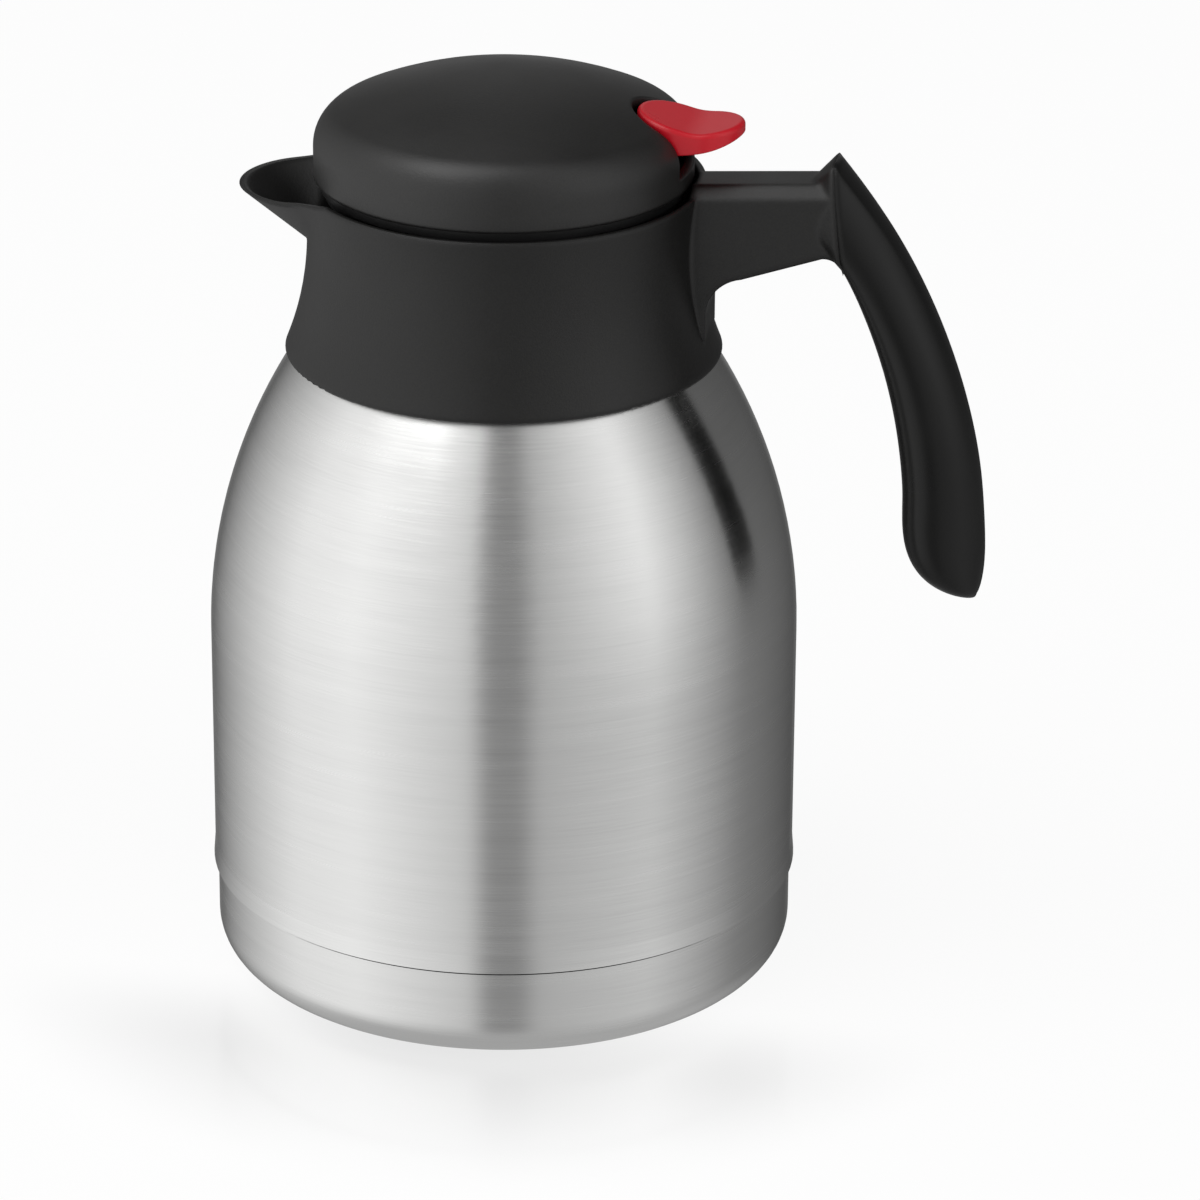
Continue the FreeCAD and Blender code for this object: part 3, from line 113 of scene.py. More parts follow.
def between(tree, value, start, end, at_start=0.0, at_end=1.0, smooth=False):
    """A Map Range node: start to end of a value becomes at_start to at_end."""
    node = tree.nodes.new("ShaderNodeMapRange")
    node.interpolation_type = "SMOOTHSTEP" if smooth else "LINEAR"
    for label, number in (("From Min", start), ("From Max", end),
                          ("To Min", at_start), ("To Max", at_end)):
        node.inputs[label].default_value = number
    tree.links.new(value, node.inputs["Value"])
    return node.outputs["Result"]


# %% Helpers that mix colours and shaders
def mixed_colour(tree, factor, first, second):
    """A colour mix; each colour is a socket or three numbers."""
    node = tree.nodes.new("ShaderNodeMix")
    node.data_type = "RGBA"
    tree.links.new(factor, node.inputs["Factor"])
    for label, colour in (("A", first), ("B", second)):
        is_socket = isinstance(colour, bpy.types.NodeSocket)
        feed(tree, node.inputs[label], colour if is_socket else (*colour, 1.0))
    return node.outputs["Result"]


def mixed_shader(tree, factor, first, second):
    """A shader mix: at factor 0 the first, at 1 the second."""
    node = tree.nodes.new("ShaderNodeMixShader")
    tree.links.new(factor, node.inputs["Fac"])
    tree.links.new(first, node.inputs[1])
    tree.links.new(second, node.inputs[2])
    return node.outputs["Shader"]


# %% Compass direction and height in the room
world = bpy.data.worlds.new("soft_box_room")
bpy.context.scene.world = world
world.use_nodes = True
room = world.node_tree
room.nodes.clear()
direction = room.nodes.new("ShaderNodeTexCoord")
facing = room.nodes.new("ShaderNodeVectorRotate")
facing.rotation_type = "Z_AXIS"
facing.inputs["Angle"].default_value = -VIEW_AZIMUTH
room.links.new(direction.outputs["Generated"], facing.inputs["Vector"])
split = room.nodes.new("ShaderNodeSeparateXYZ")
room.links.new(facing.outputs["Vector"], split.inputs["Vector"])
to_front = maths(room, "MULTIPLY", split.outputs["Y"], -1.0)
compass = maths(room, "ARCTAN2", split.outputs["X"], to_front)
full_turn = between(room, compass, -math.pi, math.pi)
print("room turned by", round(math.degrees(VIEW_AZIMUTH), 1), "degrees")

# %% Plan of the room
# Degrees from the camera's side, to the right positive, then the light from low and from high.
ROOM_PLAN = [(-180, 0.40, 0.40),  # rear wall
             (-160, 0.10, 0.10),  # dark corner
             (-90, 1.05, 1.10),   # left box, far edge
             (-60, 1.15, 1.20),   # left box, middle
             (-14, 0.75, 0.80),   # left box, near edge
             (-6, 0.28, 0.28),    # gap where the camera stands
             (6, 0.28, 0.28),
             (14, 0.55, 0.55),    # right box, near edge
             (60, 0.70, 1.15),    # right box, middle
             (105, 0.25, 0.15),   # right box, far edge
             (160, 0.08, 0.08),   # dark corner
             (180, 0.40, 0.40)]   # rear wall again
LOW_LIGHT = [(degrees, low) for degrees, low, high in ROOM_PLAN]
HIGH_LIGHT = [(degrees, high) for degrees, low, high in ROOM_PLAN]


def ring_of_light(levels):
    """A colour ramp over the compass with one grey stop per level."""
    ramp = room.nodes.new("ShaderNodeValToRGB")
    stops = ramp.color_ramp.elements
    while len(stops) < len(levels):
        stops.new(0.5)
    for stop, (degrees, light) in zip(stops, levels):
        stop.position = (degrees + 180.0) / 360.0
        stop.color = (light, light, light, 1.0)
    room.links.new(full_turn, ramp.inputs["Fac"])
    return ramp.outputs["Color"]


print("room plan:", len(ROOM_PLAN), "directions")

# %% World: two soft boxes with a gap between them
LOW_END, HIGH_START = -0.34, 0.10
SHEET_START, SHEET_FULL, SHEET_GREY = -0.50, -0.80, 0.50
height = between(room, split.outputs["Z"], LOW_END, HIGH_START, smooth=True)
boxes = mixed_colour(room, height, ring_of_light(LOW_LIGHT), ring_of_light(HIGH_LIGHT))
below = between(room, split.outputs["Z"], SHEET_START, SHEET_FULL)
around = mixed_colour(room, below, boxes, (SHEET_GREY, SHEET_GREY, SHEET_GREY))
soft = room.nodes.new("ShaderNodeBackground")
room.links.new(around, soft.inputs["Color"])
pale = room.nodes.new("ShaderNodeBackground")
for background in (soft, pale):
    background.inputs["Strength"].default_value = 1.0
rays = room.nodes.new("ShaderNodeLightPath")
seen = mixed_shader(room, rays.outputs["Is Camera Ray"],
                    soft.outputs["Background"], pale.outputs["Background"])
room_out = room.nodes.new("ShaderNodeOutputWorld")
room.links.new(seen, room_out.inputs["Surface"])
bpy.context.scene.view_settings.view_transform = "Standard"
print("world:", world.name)


# %% [markdown]
# Two area lamps add direction: a wide one high on the left that models the lid, and a weak one on
# the right that keeps the grip's edge readable. The wide one hangs so high that the lid's rounding
# shines but the steel hardly mirrors it. The small one would be a hard spot in the steel, so glossy
# rays don't see it.

# %% Lamps
LAMP_AIM = Vector((0.0, 0.0, 0.12))


def soft_lamp(name, place, size, watts, mirrored):
    """A square lamp that looks at the middle of the jug."""
    aim = LAMP_AIM - Vector(place)
    bpy.ops.object.light_add(type="AREA", location=place,
                             rotation=aim.to_track_quat("-Z", "Y").to_euler())
    lamp = bpy.context.object
    lamp.name = name
    lamp.data.size = size
    lamp.data.energy = watts
    lamp.visible_glossy = mirrored
    print(name, watts, "W")


soft_lamp("lamp_left_high", (-0.72, -0.58, 2.05), size=1.3, watts=11.5, mirrored=True)
soft_lamp("lamp_right", (1.5, -0.6, 1.0), size=1.0, watts=5.0, mirrored=False)

# %% [markdown]
# ## The floor
# The jug stands on a white sheet. It shows white to the camera but keeps a soft shadow, and in
# front of the foot it is polished, so the steel has a short faint mirror image that fades out. The
# steel doesn't mirror the sheet, it mirrors the room, because a white floor would wash out the dark
# bands.

# %% Places on a piece
def object_point(tree):
    """The three Object coordinates of a point, as the outputs of one node."""
    place = tree.nodes.new("ShaderNodeTexCoord")
    parts = tree.nodes.new("ShaderNodeSeparateXYZ")
    tree.links.new(place.outputs["Object"], parts.inputs["Vector"])
    return parts.outputs


def axis_distance(tree, point):
    """How far a point is from the jug's axis."""
    across = maths(tree, "MULTIPLY", point["X"], point["X"])
    along = maths(tree, "MULTIPLY", point["Y"], point["Y"])
    return maths(tree, "SQRT", maths(tree, "ADD", across, along))


# %% Floor
FLOOR_SIZE = 8.0
bpy.ops.mesh.primitive_plane_add(size=FLOOR_SIZE, location=(0.0, 0.0, 0.0))
floor = bpy.context.object
floor.name = "studio_floor"
floor.visible_glossy = False
print("floor:", floor.name)

# %% Floor material
SHEET_WHITE, CAMERA_GLOW = 0.97, 0.90
POLISH_ROUGHNESS, POLISH_SHARE = 0.14, 0.26
POLISH_START, POLISH_END = 0.070, 0.135
FRONT_START, FRONT_FULL = -0.030, -0.075
sheet = bpy.data.materials.new("white_acrylic_sheet")
sheet.use_nodes = True
tree = sheet.node_tree
tree.nodes.clear()
matt = tree.nodes.new("ShaderNodeBsdfDiffuse")
matt.inputs["Color"].default_value = (SHEET_WHITE, SHEET_WHITE, SHEET_WHITE, 1.0)
glow = tree.nodes.new("ShaderNodeEmission")
glow.inputs["Color"].default_value = (1.0, 1.0, 1.0, 1.0)
floor_rays = tree.nodes.new("ShaderNodeLightPath")
glow_share = maths(tree, "MULTIPLY", floor_rays.outputs["Is Camera Ray"], CAMERA_GLOW)
lit = mixed_shader(tree, glow_share, matt.outputs["BSDF"], glow.outputs["Emission"])
gloss = tree.nodes.new("ShaderNodeBsdfGlossy")
gloss.inputs["Roughness"].default_value = POLISH_ROUGHNESS
point = object_point(tree)
fade = between(tree, axis_distance(tree, point), POLISH_START, POLISH_END, POLISH_SHARE, 0.0,
               smooth=True)
front = between(tree, point["Y"], FRONT_START, FRONT_FULL, smooth=True)
polished = mixed_shader(tree, maths(tree, "MULTIPLY", fade, front), lit, gloss.outputs["BSDF"])
sheet_out = tree.nodes.new("ShaderNodeOutputMaterial")
tree.links.new(polished, sheet_out.inputs["Surface"])
floor.data.materials.append(sheet)
print("floor material:", sheet.name)


# %% [markdown]
# ## Shared effects
# Two effects occur in several finishes: the fine grain of moulded plastic and the long scratches
# of brushed steel. Each could be repeated in every material, but as a node group it is built once.
# A group puts out values, and the shader itself stays in the material.

# %% Group and noise helpers
def new_group(name, inputs, outputs):
    """An empty shader group with float inputs {name: default} and float outputs."""
    group = bpy.data.node_groups.new(name, "ShaderNodeTree")
    for label, value in inputs.items():
        socket = group.interface.new_socket(label, in_out="INPUT", socket_type="NodeSocketFloat")
        socket.default_value = value
    for label in outputs:
        group.interface.new_socket(label, in_out="OUTPUT", socket_type="NodeSocketFloat")
    return (group, group.nodes.new("NodeGroupInput").outputs,
            group.nodes.new("NodeGroupOutput").inputs)


def noise(tree, vector, scale, detail, roughness=0.5):
    """A noise texture; its scale is a socket or a number."""
    node = tree.nodes.new("ShaderNodeTexNoise")
    node.inputs["Detail"].default_value = detail
    node.inputs["Roughness"].default_value = roughness
    tree.links.new(vector, node.inputs["Vector"])
    feed(tree, node.inputs["Scale"], scale)
    return node.outputs["Fac"]


# A noise lies close round its middle, so its difference from the middle is stretched.
MIDDLE, STRETCH = 0.5, 4.0
EFFECT_OUTPUTS = ("Height", "Roughness", "Tone")


def varied_roughness(group, pattern, inputs):
    """The plain roughness, raised and lowered by a pattern."""
    lifted = maths(group, "SUBTRACT", pattern, MIDDLE)
    spread = maths(group, "MULTIPLY", lifted, inputs["Rough Spread"])
    return maths(group, "ADD", maths(group, "MULTIPLY", spread, STRETCH), inputs["Rough"])


# %% Grain of moulded plastic
CLOUDS_PER_METRE = 38.0
grain, grain_in, grain_out = new_group(
    "moulded_grain", {"Scale": 2600.0, "Rough": 0.5, "Rough Spread": 0.06, "Speckle": 0.5},
    EFFECT_OUTPUTS)
place = grain.nodes.new("ShaderNodeTexCoord").outputs["Object"]
fine = noise(grain, place, grain_in["Scale"], detail=3.0)
cloud = noise(grain, place, CLOUDS_PER_METRE, detail=4.0)
speckle = maths(grain, "MULTIPLY", maths(grain, "SUBTRACT", fine, MIDDLE), grain_in["Speckle"])
grain.links.new(fine, grain_out["Height"])
grain.links.new(varied_roughness(grain, cloud, grain_in), grain_out["Roughness"])
grain.links.new(maths(grain, "ADD", cloud, speckle), grain_out["Tone"])
print("group:", grain.name)

# %% Scratches of brushed steel
HAIR_ROUND, BAND_ROUND, BAND_COARSENESS = 3.0, 1.2, 0.06
HAIR_SHARE, BAND_SHARE = 0.6, 0.4
brush, brush_in, brush_out = new_group(
    "brushed_round", {"Lines per metre": 5200.0, "Rough": 0.3, "Rough Spread": 0.1},
    EFFECT_OUTPUTS)
point = object_point(brush)
angle = maths(brush, "ARCTAN2", point["Y"], point["X"])
level = maths(brush, "ADD", point["Z"], axis_distance(brush, point))
fine_level = maths(brush, "MULTIPLY", level, brush_in["Lines per metre"])


def round_the_axis(around, upwards):
    """A vector that changes slowly round the axis and fast upwards, so noise becomes lines."""
    lines = brush.nodes.new("ShaderNodeCombineXYZ")
    for label, wave in (("X", "SINE"), ("Y", "COSINE")):
        turned = maths(brush, "MULTIPLY", maths(brush, wave, angle), around)
        brush.links.new(turned, lines.inputs[label])
    brush.links.new(upwards, lines.inputs["Z"])
    return lines.outputs["Vector"]


hair = noise(brush, round_the_axis(HAIR_ROUND, fine_level), 1.0, detail=4.0, roughness=0.65)
coarse_level = maths(brush, "MULTIPLY", fine_level, BAND_COARSENESS)
band = noise(brush, round_the_axis(BAND_ROUND, coarse_level), 1.0, detail=3.0)
mixed = maths(brush, "ADD", maths(brush, "MULTIPLY", hair, HAIR_SHARE),
              maths(brush, "MULTIPLY", band, BAND_SHARE))
brush.links.new(hair, brush_out["Height"])
brush.links.new(varied_roughness(brush, mixed, brush_in), brush_out["Roughness"])
brush.links.new(mixed, brush_out["Tone"])
print("group:", brush.name)


# %% [markdown]
# ## Finishes
# A helper makes a material from a group: the group's tone mixes two close colours, its roughness
# goes to the shader, and its height goes through a Bump node. Moulded pieces have no sharp edges,
# so a Bevel node can round their shading. What is the same all over is set on the shader's own
# sockets.

# %% Material helper
EDGE_SAMPLES = 8


def finish_from(name, group, dark, light, bump, depth, values, edge=0.0, **plain):
    """A Principled material whose colour, roughness and relief come from a shared group."""
    made = bpy.data.materials.new(name)
    made.use_nodes = True
    tree = made.node_tree
    shader = tree.nodes["Principled BSDF"]
    effect = tree.nodes.new("ShaderNodeGroup")
    effect.node_tree = group
    for label, value in values.items():
        effect.inputs[label].default_value = value
    colour = mixed_colour(tree, effect.outputs["Tone"], dark, light)
    tree.links.new(colour, shader.inputs["Base Color"])
    tree.links.new(effect.outputs["Roughness"], shader.inputs["Roughness"])
    relief = tree.nodes.new("ShaderNodeBump")
    relief.inputs["Strength"].default_value = bump
    relief.inputs["Distance"].default_value = depth
    tree.links.new(effect.outputs["Height"], relief.inputs["Height"])
    tree.links.new(relief.outputs["Normal"], shader.inputs["Normal"])
    if edge:
        rounding = tree.nodes.new("ShaderNodeBevel")
        rounding.samples = EDGE_SAMPLES
        rounding.inputs["Radius"].default_value = edge
        tree.links.new(rounding.outputs["Normal"], relief.inputs["Normal"])
    for label, value in plain.items():
        shader.inputs[label.replace("_", " ")].default_value = value
    return made


# %% Dressing helper
def wear(piece, material):
    """Give one piece one material."""
    piece.data.materials.clear()
    piece.data.materials.append(material)


def dress(material, *names):
    """Give CAD pieces one material."""
    for name in names:
        wear(jug[name], material)
    print(material.name, "on", ", ".join(names))


# %% [markdown]
# The body and the base cup are stainless steel brushed round and round. The scratches lie level,
# so the steel blurs what it mirrors up and down but hardly sideways. Anisotropy does that: the
# tangent runs round the axis, a quarter turn of it sets the blur upright, and the group's fine
# relief adds the visible hairlines.

# %% Brushed steel
steel = finish_from("brushed_stainless", brush, (0.61, 0.61, 0.605), (0.83, 0.83, 0.82),
                    bump=0.07, depth=0.00003, values={"Rough": 0.25, "Rough Spread": 0.05},
                    Metallic=1.0, Anisotropic=0.85, Anisotropic_Rotation=0.25)
steel_tree = steel.node_tree
steel_inputs = steel_tree.nodes["Principled BSDF"].inputs
tangent = steel_tree.nodes.new("ShaderNodeTangent")
tangent.direction_type = "RADIAL"
tangent.axis = "Z"
steel_tree.links.new(tangent.outputs["Tangent"], steel_inputs["Tangent"])
dress(steel, "outer_shell", "base_cup")

# %% [markdown]
# The base cup stops just short of the body, and the groove between them is the dark line in the
# picture. Shade is painted into it: a mask that is 1 only inside the groove's radius and between
# its two heights mixes the steel's tone with a brown black, a painted shadow on the groove's
# inside.

# %% Painted shade in the groove above the base cup
GROOVE_RADIUS, GROOVE_FOOT, GROOVE_TOP = 0.0698, 0.0205, 0.0247
GROOVE_PAINTED_SHADE = (0.012, 0.011, 0.010)
point = object_point(steel_tree)
inside = maths(steel_tree, "LESS_THAN", axis_distance(steel_tree, point), GROOVE_RADIUS)
under = maths(steel_tree, "LESS_THAN", point["Z"], GROOVE_TOP)
over = maths(steel_tree, "GREATER_THAN", point["Z"], GROOVE_FOOT)
groove = maths(steel_tree, "MULTIPLY", inside, maths(steel_tree, "MULTIPLY", under, over))
brushed_tone = steel_inputs["Base Color"].links[0].from_socket
# painted shade: the steel inside the groove is mixed towards near black to stand for the shadow
# there
groove_shade_painted = mixed_colour(steel_tree, groove, brushed_tone, GROOVE_PAINTED_SHADE)
steel_tree.links.new(groove_shade_painted, steel_inputs["Base Color"])
print("groove darkened from", GROOVE_FOOT, "to", GROOVE_TOP)

# %% [markdown]
# Inside, the flask, the bottom plate and the getter are plain rolled sheet. It could wear the
# brushed steel, but its lines are wider and it is duller, so it has a material of its own.

# %% Plain stainless sheet inside
flask_sheet = finish_from("flask_stainless", brush, (0.50, 0.50, 0.50), (0.66, 0.66, 0.65),
                          bump=0.05, depth=0.00003,
                          values={"Lines per metre": 1500.0, "Rough": 0.34}, Metallic=1.0)
dress(flask_sheet, "inner_flask", "shell_bottom", "getter_capsule")

# %% [markdown]
# Collar, arm and lid are polypropylene with a spark-eroded grain that turns black into a soft dark
# grey. The lid is the same plastic, but its colour is painted a shade paler to stand for the light
# that its upturned shoulder catches. The grip is smoother and darker. How strongly each one shines
# is the same all over, so it is the shader's own specular level.

# %% Black plastics
collar_black = finish_from("grained_black", grain,
                           (0.0034, 0.0033, 0.0031), (0.0078, 0.0076, 0.0072),
                           bump=0.34, depth=0.00012,
                           values={"Scale": 2200.0, "Rough": 0.42, "Speckle": 1.6},
                           edge=0.0022, Specular_IOR_Level=0.42)
dress(collar_black, "collar")
# painted light: the lid's colours are paler than the collar's to stand for the light on its
# shoulder
lid_painted_lighter = finish_from("lid_painted_lighter", grain, (0.0055, 0.0054, 0.0051), (0.0115, 0.0112, 0.0107),
                        bump=0.34, depth=0.00012,
                        values={"Scale": 2200.0, "Rough": 0.44, "Speckle": 1.6},
                        edge=0.0012, Specular_IOR_Level=0.55)
dress(lid_painted_lighter, "lid_cover")
grip_black = finish_from("smooth_black", grain, (0.0022, 0.0022, 0.0021), (0.0040, 0.0040, 0.0038),
                         bump=0.06, depth=0.00008, values={"Scale": 3400.0, "Rough": 0.31},
                         edge=0.0022, Specular_IOR_Level=0.30)
dress(grip_black, "grip")
stopper_black = finish_from("stopper_black", grain,
                            (0.0045, 0.0045, 0.0046), (0.0080, 0.0080, 0.0082),
                            bump=0.08, depth=0.00008, values={"Scale": 1800.0, "Rough": 0.42})
dress(stopper_black, "stopper_body", "stopper_deck", "neck_ring", "valve_plug", "valve_stem")

# %% [markdown]
# The thumb lever is moulded in a strong red, so that it is found at once. It is smoother than the
# black pieces, and its edge is only just rounded.

# %% Red lever
lever_red = finish_from("lever_red", grain, (0.45, 0.0065, 0.015), (0.54, 0.0105, 0.021),
                        bump=0.05, depth=0.00006, values={"Scale": 2400.0, "Rough": 0.30},
                        edge=0.0006, Specular_IOR_Level=0.32)
dress(lever_red, "lever")

# %% [markdown]
# The seals are pale silicone, dull and a little cloudy. Screws, pin and spring are small bright
# steel. Their scratches would be too fine to see, so the grain group makes them slightly uneven.

# %% Pale seals and bright small steel
silicone = finish_from("pale_silicone", grain, (0.55, 0.55, 0.53), (0.66, 0.66, 0.64),
                       bump=0.05, depth=0.00008, values={"Scale": 900.0, "Rough": 0.55})
dress(silicone, "neck_seal", "deck_seal", "stopper_seal", "stem_seal", "valve_seal")
bright = finish_from("bright_stainless", grain, (0.60, 0.60, 0.60), (0.74, 0.74, 0.73),
                     bump=0.04, depth=0.00005, values={"Scale": 1500.0, "Rough": 0.24},
                     Metallic=1.0)
dress(bright, "grip_screws", "lid_screws", "lever_pin", "valve_spring")

# %% [markdown]
# ## The foot
# In the picture the steel cup turns softly into its underside, more than the CAD piece does. It is
# deep drawn from sheet, so it is modelled as a drawn cup: a cylinder without its top face, a wide
# bevel round the lower edge, an inset that lifts the middle off the table, and a Solidify modifier
# that gives the sheet its thickness on the inside. Helpers select faces and edges by their place.

# %% Selection helpers
# A face lies level if its normal's upward part is beyond the first value, dead level the second.
LEVEL, DEAD_LEVEL = 0.9, 0.99


def clear_selection(kind):
    """Select nothing on the active piece, in face or edge mode."""
    bpy.ops.object.mode_set(mode="EDIT")
    bpy.ops.mesh.select_mode(type=kind)
    bpy.ops.mesh.select_all(action="DESELECT")
    bpy.ops.object.mode_set(mode="OBJECT")


def pick_faces(piece, test):
    """Edit mode on the active piece with the faces that pass a test."""
    clear_selection("FACE")
    for face in piece.data.polygons:
        face.select = test(face)
    bpy.ops.object.mode_set(mode="EDIT")


def pick_edges(piece, test):
    """Edit mode on the active piece with the edges whose two ends pass a test."""
    clear_selection("EDGE")
    for edge in piece.data.edges:
        ends = [piece.data.vertices[index].co for index in edge.vertices]
        edge.select = all(test(end) for end in ends)
    bpy.ops.object.mode_set(mode="EDIT")


# %% Placing helpers
def alone(piece):
    """Leave only this piece selected and active."""
    bpy.ops.object.select_all(action="DESELECT")
    piece.select_set(True)
    bpy.context.view_layer.objects.active = piece


def apply_place():
    """Move the selected piece's place into its mesh."""
    bpy.ops.object.transform_apply(location=True, rotation=True, scale=True)


def smooth_under(degrees):
    """Smooth the selected piece except at edges sharper than an angle."""
    bpy.ops.object.shade_smooth_by_angle(angle=math.radians(degrees))


def settle(piece, material, body):
    """Dress a new piece and let it ride on a body."""
    wear(piece, material)
    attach(piece, body)
    print(piece.name, "with", len(piece.data.polygons), "faces rides on", body)


# %% Drawn foot cup
CUP_SIDES, CUP_STEPS, CUP_UNDERSIDE = 192, 12, 0.001
CUP_SHEET, CUP_ROUNDING, CUP_RING, CUP_RECESS = 0.0006, 0.0098, 0.0050, 0.0014
cup_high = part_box("base_cup")[1]
bpy.ops.object.select_all(action="DESELECT")
bpy.ops.mesh.primitive_cylinder_add(vertices=CUP_SIDES, radius=cup_high[0], depth=cup_high[2],
                                    location=(0.0, 0.0, cup_high[2] / 2))
cup = bpy.context.object
cup.name = "foot_cup"
apply_place()
pick_faces(cup, lambda face: face.normal.z > LEVEL)
bpy.ops.mesh.delete(type="ONLY_FACE")
bpy.ops.object.mode_set(mode="OBJECT")
pick_edges(cup, lambda end: end.z < CUP_SHEET)
bpy.ops.mesh.bevel(offset=CUP_ROUNDING, segments=CUP_STEPS, affect="EDGES")
bpy.ops.object.mode_set(mode="OBJECT")
pick_faces(cup, lambda face: face.normal.z < -DEAD_LEVEL and face.area > CUP_UNDERSIDE)
bpy.ops.mesh.inset(thickness=CUP_RING)
bpy.ops.mesh.inset(thickness=CUP_RECESS)
bpy.ops.transform.translate(value=(0.0, 0.0, CUP_RECESS))
bpy.ops.object.mode_set(mode="OBJECT")
sheet_wall = cup.modifiers.new("sheet", "SOLIDIFY")
sheet_wall.thickness = CUP_SHEET
sheet_wall.offset = -1.0
bpy.ops.object.modifier_apply(modifier=sheet_wall.name)
smooth_under(30.0)
settle(cup, steel, "vessel")
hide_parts("base_cup")

# %% [markdown]
# ## Screws with a cross slot
# The grip hangs on two screws and the cover on four. In the CAD model they are plain pins with a
# head. The real heads are rounded and have a cross slot, so one screw is modelled from a cylinder:
# its lower face is inset and extruded to the shank and the point, its upper rim is bevelled, and a
# Boolean modifier cuts the slot.

# %% One screw
POINT_SHARE, POINT_WIDTH = 0.2, 0.35
HEAD_SIDES, HEAD_ROUNDING, HEAD_STEPS = 32, 0.45, 5
SLOT_LONG, SLOT_WIDE, SLOT_DEEP = 1.1, 0.3, 1.1


def longer_by(length):
    """Extrude the selected face downwards."""
    bpy.ops.mesh.extrude_region_move(TRANSFORM_OT_translate={"value": (0.0, 0.0, -length)})


def cross_screw(name, head, height, shank, length):
    """A screw on its seat at the origin: rounded head above, shank and point below."""
    bpy.ops.object.select_all(action="DESELECT")
    bpy.ops.mesh.primitive_cylinder_add(vertices=HEAD_SIDES, radius=head, depth=height,
                                        location=(0.0, 0.0, height / 2))
    piece = bpy.context.object
    piece.name = name
    apply_place()
    pick_faces(piece, lambda face: face.normal.z < -LEVEL)
    bpy.ops.mesh.inset(thickness=head - shank)
    longer_by(length * (1.0 - POINT_SHARE))
    longer_by(length * POINT_SHARE)
    bpy.ops.transform.resize(value=(POINT_WIDTH, POINT_WIDTH, 1.0))
    bpy.ops.object.mode_set(mode="OBJECT")
    pick_edges(piece, lambda end: end.z > height * 0.9)
    bpy.ops.mesh.bevel(offset=height * HEAD_ROUNDING, segments=HEAD_STEPS, affect="EDGES")
    bpy.ops.object.mode_set(mode="OBJECT")
    for reach in ((SLOT_LONG, SLOT_WIDE), (SLOT_WIDE, SLOT_LONG)):
        cut_slot(piece, head, height, reach)
    alone(piece)
    smooth_under(30.0)
    return piece


def cut_slot(piece, head, height, reach):
    """Cut one arm of the cross into a screw's head."""
    bpy.ops.object.select_all(action="DESELECT")
    bpy.ops.mesh.primitive_cube_add(size=head, location=(0.0, 0.0, height))
    blade = bpy.context.object
    blade.scale = (*reach, height * SLOT_DEEP / head)
    alone(piece)
    slot = piece.modifiers.new("cross_slot", "BOOLEAN")
    slot.operation = "DIFFERENCE"
    slot.object = blade
    bpy.ops.object.modifier_apply(modifier=slot.name)
    bpy.data.objects.remove(blade, do_unlink=True)


def put(piece, spot, outward):
    """Turn a piece's upper side outwards and set it on its spot."""
    alone(piece)
    piece.rotation_euler = Vector(outward).to_track_quat("Z", "Y").to_euler()
    piece.location = spot
    apply_place()


# %% [markdown]
# The grip's screws sit under the finger face, square to its arc. The arc's middle lies on the spout
# side, so a screw's outward direction points back to it. The cover's screws stand on a circle under
# the stopper's top flange with their heads down.

# %% Two screws in the grip
ARC_X, ARC_Z, ARC_RADIUS, SEAT_DEPTH = -0.0384, 0.1185, 0.13495, 0.0021
GRIP_SCREW = {"head": 0.0032, "height": 0.0016, "shank": 0.0016, "length": 0.0085}
for name, height in (("grip_screw_upper", 0.1745), ("grip_screw_lower", 0.1650)):
    slope = math.asin((height - ARC_Z) / ARC_RADIUS)
    depth = ARC_RADIUS + SEAT_DEPTH
    screw = cross_screw(name, **GRIP_SCREW)
    put(screw, (ARC_X + depth * math.cos(slope), 0.0, ARC_Z + depth * math.sin(slope)),
        (-math.cos(slope), 0.0, -math.sin(slope)))
    settle(screw, bright, "vessel")
    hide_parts("grip_screws")

# %% Four screws under the cover
LID_SCREW = {"head": 0.0029, "height": 0.0019, "shank": 0.00145, "length": 0.0125}
LID_SCREW_CIRCLE = 0.0383
flange_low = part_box("lid_screws")[0][2] + LID_SCREW["height"]
for number in range(4):
    turned = math.radians(45.0 + 90.0 * number)
    across, along = LID_SCREW_CIRCLE * math.cos(turned), LID_SCREW_CIRCLE * math.sin(turned)
    screw = cross_screw("lid_screw_%d" % (number + 1), **LID_SCREW)
    put(screw, (across, along, flange_low), (0.0, 0.0, -1.0))
    settle(screw, bright, "stopper")
    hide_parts("lid_screws")

# %% [markdown]
# ## Thread of the stopper
# The stopper is twisted out of the neck by a quarter turn, so its plug carries four short thread
# ridges. A ridge could be bent from a bar, but a small ring that a Screw modifier sweeps along a
# helix keeps its section. The open ends are filled, and three turned copies with meshes of their
# own complete the thread. The ridges stand only 0.4 mm proud, inside the play between plug and
# neck.

# %% Ring swept along a helix
RING_SIDES = 10


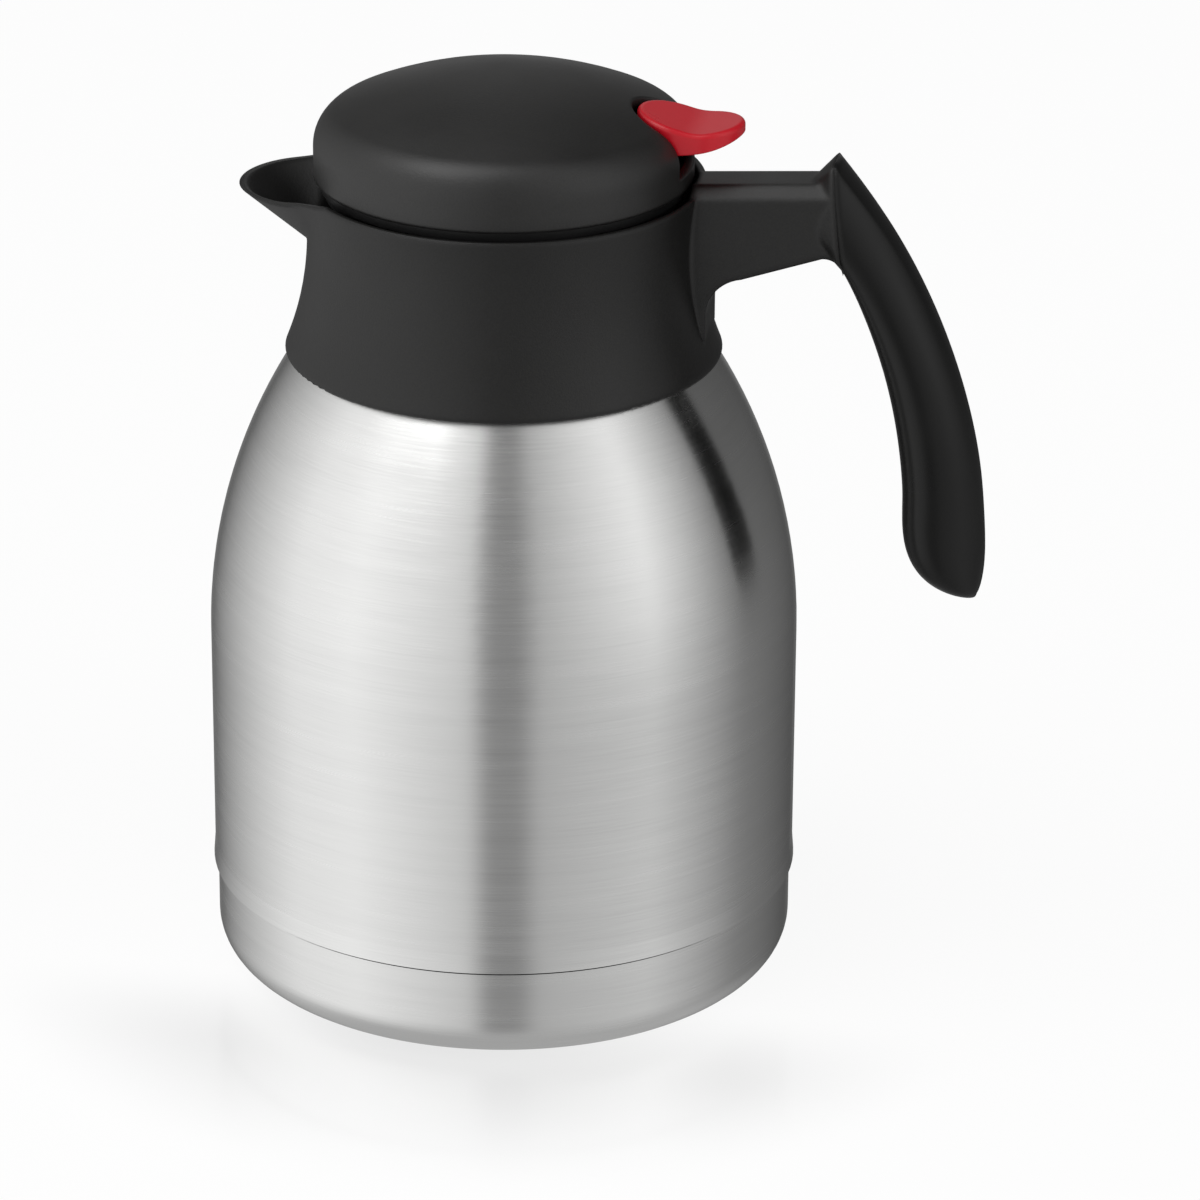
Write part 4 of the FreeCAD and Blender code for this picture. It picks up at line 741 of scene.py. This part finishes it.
def swept_ring(name, radius, spot, squeeze, angle, rise, steps, turns):
    """A small upright ring that is swept round the Z axis while it rises, closed at both ends."""
    bpy.ops.object.select_all(action="DESELECT")
    bpy.ops.mesh.primitive_circle_add(vertices=RING_SIDES, radius=radius, location=(0.0, 0.0, 0.0))
    piece = bpy.context.object
    piece.name = name
    piece.rotation_euler = (math.radians(90.0), 0.0, 0.0)
    piece.scale = (*squeeze, 1.0)
    piece.location = spot
    apply_place()
    sweep = piece.modifiers.new("helix", "SCREW")
    sweep.angle = angle
    sweep.screw_offset = rise
    sweep.iterations = turns
    sweep.steps = steps
    sweep.render_steps = steps
    bpy.ops.object.modifier_apply(modifier=sweep.name)
    bpy.ops.object.mode_set(mode="EDIT")
    bpy.ops.mesh.select_all(action="SELECT")
    bpy.ops.mesh.fill_holes(sides=0)
    bpy.ops.mesh.select_all(action="SELECT")
    bpy.ops.mesh.normals_make_consistent(inside=False)
    bpy.ops.object.mode_set(mode="OBJECT")
    return piece


# %% Thread ridges
RIDGE_INSET, RIDGE_SIZE, RIDGE_SQUEEZE, RIDGE_STEPS = 0.0047, 0.001, (0.4, 0.9), 26
THREAD_FOOT, THREAD_RISE, THREAD_ANGLE = 0.1660, 0.0045, math.radians(78.0)
plug_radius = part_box("stopper_seal")[1][0] - RIDGE_INSET
ridge = swept_ring("thread_ridge_1", RIDGE_SIZE, (plug_radius, 0.0, THREAD_FOOT), RIDGE_SQUEEZE,
                   THREAD_ANGLE, THREAD_RISE, RIDGE_STEPS, turns=1)
smooth_under(40.0)
ridges = [ridge]
for number in range(1, 4):
    alone(ridge)
    bpy.ops.object.duplicate(linked=False)
    copy = bpy.context.object
    copy.name = "thread_ridge_%d" % (number + 1)
    copy.rotation_euler = (0.0, 0.0, math.radians(90.0 * number))
    apply_place()
    ridges.append(copy)
for piece in ridges:
    settle(piece, stopper_black, "stopper")

# %% [markdown]
# ## The valve's closing spring
# A coil of round wire stands round the stem, between the valve's disc and the deck. When the lever
# lifts the valve, the coil has to shorten. The CAD piece keeps its length, so the coil is modelled
# again in its place: one small ring of wire, swept by a Screw modifier over several turns. It rides
# with the deck.

# %% Closing spring
WIRE_RADIUS, WIRE_SHARE, SPRING_TURNS, SPRING_STEPS = 0.0007, 0.99, 7, 36
spring_low, spring_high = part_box("valve_spring")
coil_radius = spring_high[0] - WIRE_RADIUS
coil_foot, coil_head = spring_low[2] + WIRE_RADIUS, spring_high[2] - WIRE_RADIUS
spring = swept_ring("closing_spring", WIRE_RADIUS * WIRE_SHARE, (coil_radius, 0.0, coil_foot),
                    (1.0, 1.0), math.radians(360.0), (coil_head - coil_foot) / SPRING_TURNS,
                    SPRING_STEPS, SPRING_TURNS)
smooth_under(50.0)
settle(spring, bright, "stopper")
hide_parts("valve_spring")
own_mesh(spring)
